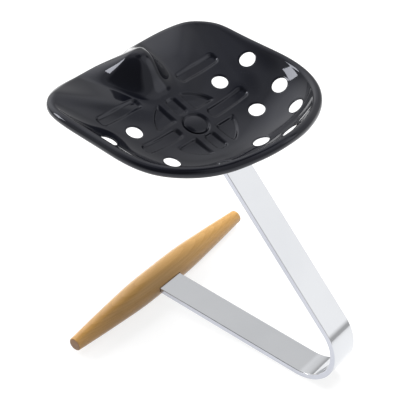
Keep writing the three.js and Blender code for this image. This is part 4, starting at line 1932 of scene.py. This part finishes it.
@dataclass(frozen=True)
class Patch:
    """A round patch of the surround, as a gloss shows it: a pale screen or a dark part of the room.

    Inner and outer are how many degrees from its middle it starts to fade and ends.
    """

    azimuth: float
    elevation: float
    inner: float
    outer: float
    strength: float

    def laid(self, nodes: NodeTree, direction: Socket, under: Socket | float) -> Socket:
        """Lays the patch over what is there.

        Args:
            nodes: The world's tree.
            direction: The direction that is looked in.
            under: The strength without the patch.

        Returns:
            The strength with it.
        """
        turn = nodes.add("ShaderNodeVectorMath", operation="DOT_PRODUCT")
        nodes.put(direction, turn.inputs[0])
        nodes.put(towards(self.azimuth, self.elevation), turn.inputs[1])
        fade = (math.cos(math.radians(self.outer)), math.cos(math.radians(self.inner)))
        return nodes.between(under, self.strength, nodes.ranged(turn.outputs["Value"], (0.0, 1.0), fade))


@dataclass
class Studio:
    """The photograph's camera, a pale floor, a white surround and soft lamps."""

    azimuth: float = 129.01
    elevation: float = 38.31
    roll: float = -0.13
    camera_place: Place = (1.6087, 1.4063, 1.9011)
    lens: float = 129.9
    sensor_width: float = 36.0
    clip: Span = (0.05, 60.0)
    floor_size: float = 14.0
    floor_drop: float = 0.0004
    floor_glow: float = 0.8
    floor_tone: float = 0.3
    floor_bounce: float = 0.55
    surround: float = 0.5
    ambient: float = 0.32
    softboxes: tuple[Softbox, ...] = (
        Softbox("overhead_softbox", (-0.5, 0.2, 2.9), (0.0, 0.1, 0.3), 2.0, 2.0, 98.0, False),
        Softbox("front_softbox", (-0.5, -2.4, 1.6), (0.0, 0.1, 0.3), 1.6, 1.6, 50.0, False),
        Softbox("small_softbox", (1.15, -2.0, 1.6), (0.0, 0.1, 0.4), 0.75, 0.95, 19.0),
    )
    patches: tuple[Patch, ...] = (
        Patch(-140.0, 48.0, 14.0, 26.0, 0.8),
        Patch(-138.0, 25.0, 10.0, 19.0, 1.2),
        Patch(-56.0, 42.0, 10.0, 20.0, 0.78),
        Patch(-12.0, 30.0, 12.0, 34.0, 1.36),
        Patch(98.0, 40.0, 28.0, 44.0, 0.1),
        Patch(0.0, 90.0, 8.0, 20.0, 0.08),
        Patch(-88.0, 74.0, 7.0, 13.0, 0.05),
        Patch(-112.0, 36.0, 4.0, 9.0, 0.16),
    )

    def camera(self) -> None:
        """Puts the camera where the photograph was taken from."""
        a, r = math.radians(self.azimuth), math.radians(self.roll)
        back = towards(self.azimuth, self.elevation)
        level = Vector((math.cos(a), math.sin(a), 0))
        upper = back.cross(level)
        right = level * math.cos(r) + upper * math.sin(r)
        up = upper * math.cos(r) - level * math.sin(r)
        lens = bpy.data.cameras.new("camera")
        lens.lens, lens.sensor_width = self.lens, self.sensor_width
        lens.clip_start, lens.clip_end = self.clip
        made = bpy.data.objects.new("camera", lens)
        bpy.context.scene.collection.objects.link(made)
        turned = Matrix((right, up, back)).transposed().to_4x4()
        made.matrix_world = Matrix.Translation(self.camera_place) @ turned
        bpy.context.scene.camera = made

    def seen(self, nodes: NodeTree) -> Socket:
        """Tells what is seen from what only lights other things.

        Args:
            nodes: The tree of a material or the world.

        Returns:
            1 for what the camera sees straight, in a gloss or through glass, 0 for the rest.
        """
        path = nodes.add("ShaderNodeLightPath").outputs
        mirrored = nodes.computed("MAXIMUM", path["Is Camera Ray"], path["Is Glossy Ray"])
        return nodes.computed("MAXIMUM", mirrored, path["Is Transmission Ray"])

    def floor(self) -> None:
        """Lays the floor: white to the camera, and darker where the stool's shadow falls."""
        half, low = self.floor_size / 2, -self.floor_drop
        material = bpy.data.materials.new("studio_floor")
        nodes = NodeTree(material)
        bounce = nodes.shader("ShaderNodeBsdfDiffuse", Color=grey(self.floor_bounce))
        shade = nodes.shader("ShaderNodeBsdfDiffuse", Color=grey(self.floor_tone))
        both = nodes.add("ShaderNodeAddShader")
        nodes.put(shade, both.inputs[0])
        nodes.put(nodes.shader("ShaderNodeEmission", Strength=self.floor_glow), both.inputs[1])
        mix = nodes.add("ShaderNodeMixShader")
        for value, target in zip((self.seen(nodes), bounce, both.outputs[0]), mix.inputs):
            nodes.put(value, target)
        nodes.end("ShaderNodeOutputMaterial", mix.outputs[0])
        corners = np.array([(-half, -half, low), (half, -half, low), (half, half, low), (-half, half, low)])
        plane = Shape(corners, [(0, 1, 2, 3)]).piece("studio_floor", [material])

    def world(self) -> None:
        """Makes the surround: white to the camera, an even light on matt faces, and a room in a gloss."""
        world = bpy.data.worlds.new("studio")
        bpy.context.scene.world = world
        nodes = NodeTree(world)
        direction = nodes.add("ShaderNodeTexCoord").outputs["Generated"]
        room: Socket | float = self.surround
        for patch in self.patches:
            room = patch.laid(nodes, direction, room)
        straight = nodes.add("ShaderNodeLightPath").outputs["Is Camera Ray"]
        strength = nodes.between(self.ambient, nodes.between(room, 1.0, straight), self.seen(nodes))
        nodes.end("ShaderNodeOutputWorld", nodes.shader("ShaderNodeBackground", Color=grey(1.0), Strength=strength))

    def build(self) -> None:
        """Sets up the whole studio."""
        bpy.context.scene.view_settings.view_transform = "Standard"
        self.camera()
        self.floor()
        self.world()
        for softbox in self.softboxes:
            softbox.build()
        log.info("studio: %d lamps", len(self.softboxes))


def main() -> None:
    """Builds the stool and the studio, and reports each piece."""
    logging.basicConfig(level=logging.INFO, format="%(name)s: %(message)s")
    finishes = Finishes()
    seat = SeatPlace()
    stack = Stack()
    stem = Stem(seat, stack)
    Studio().build()
    SeatPan().build(seat.matrix(), finishes)
    SeatBolt(stack).build(seat.matrix(), finishes)
    Washers(stack).build(seat.matrix(), finishes)
    WingNut(stack).build(seat.matrix(), finishes)
    stem.build(finishes)
    Footrest(stem).build(finishes)


if __name__ == "__main__":
    main()
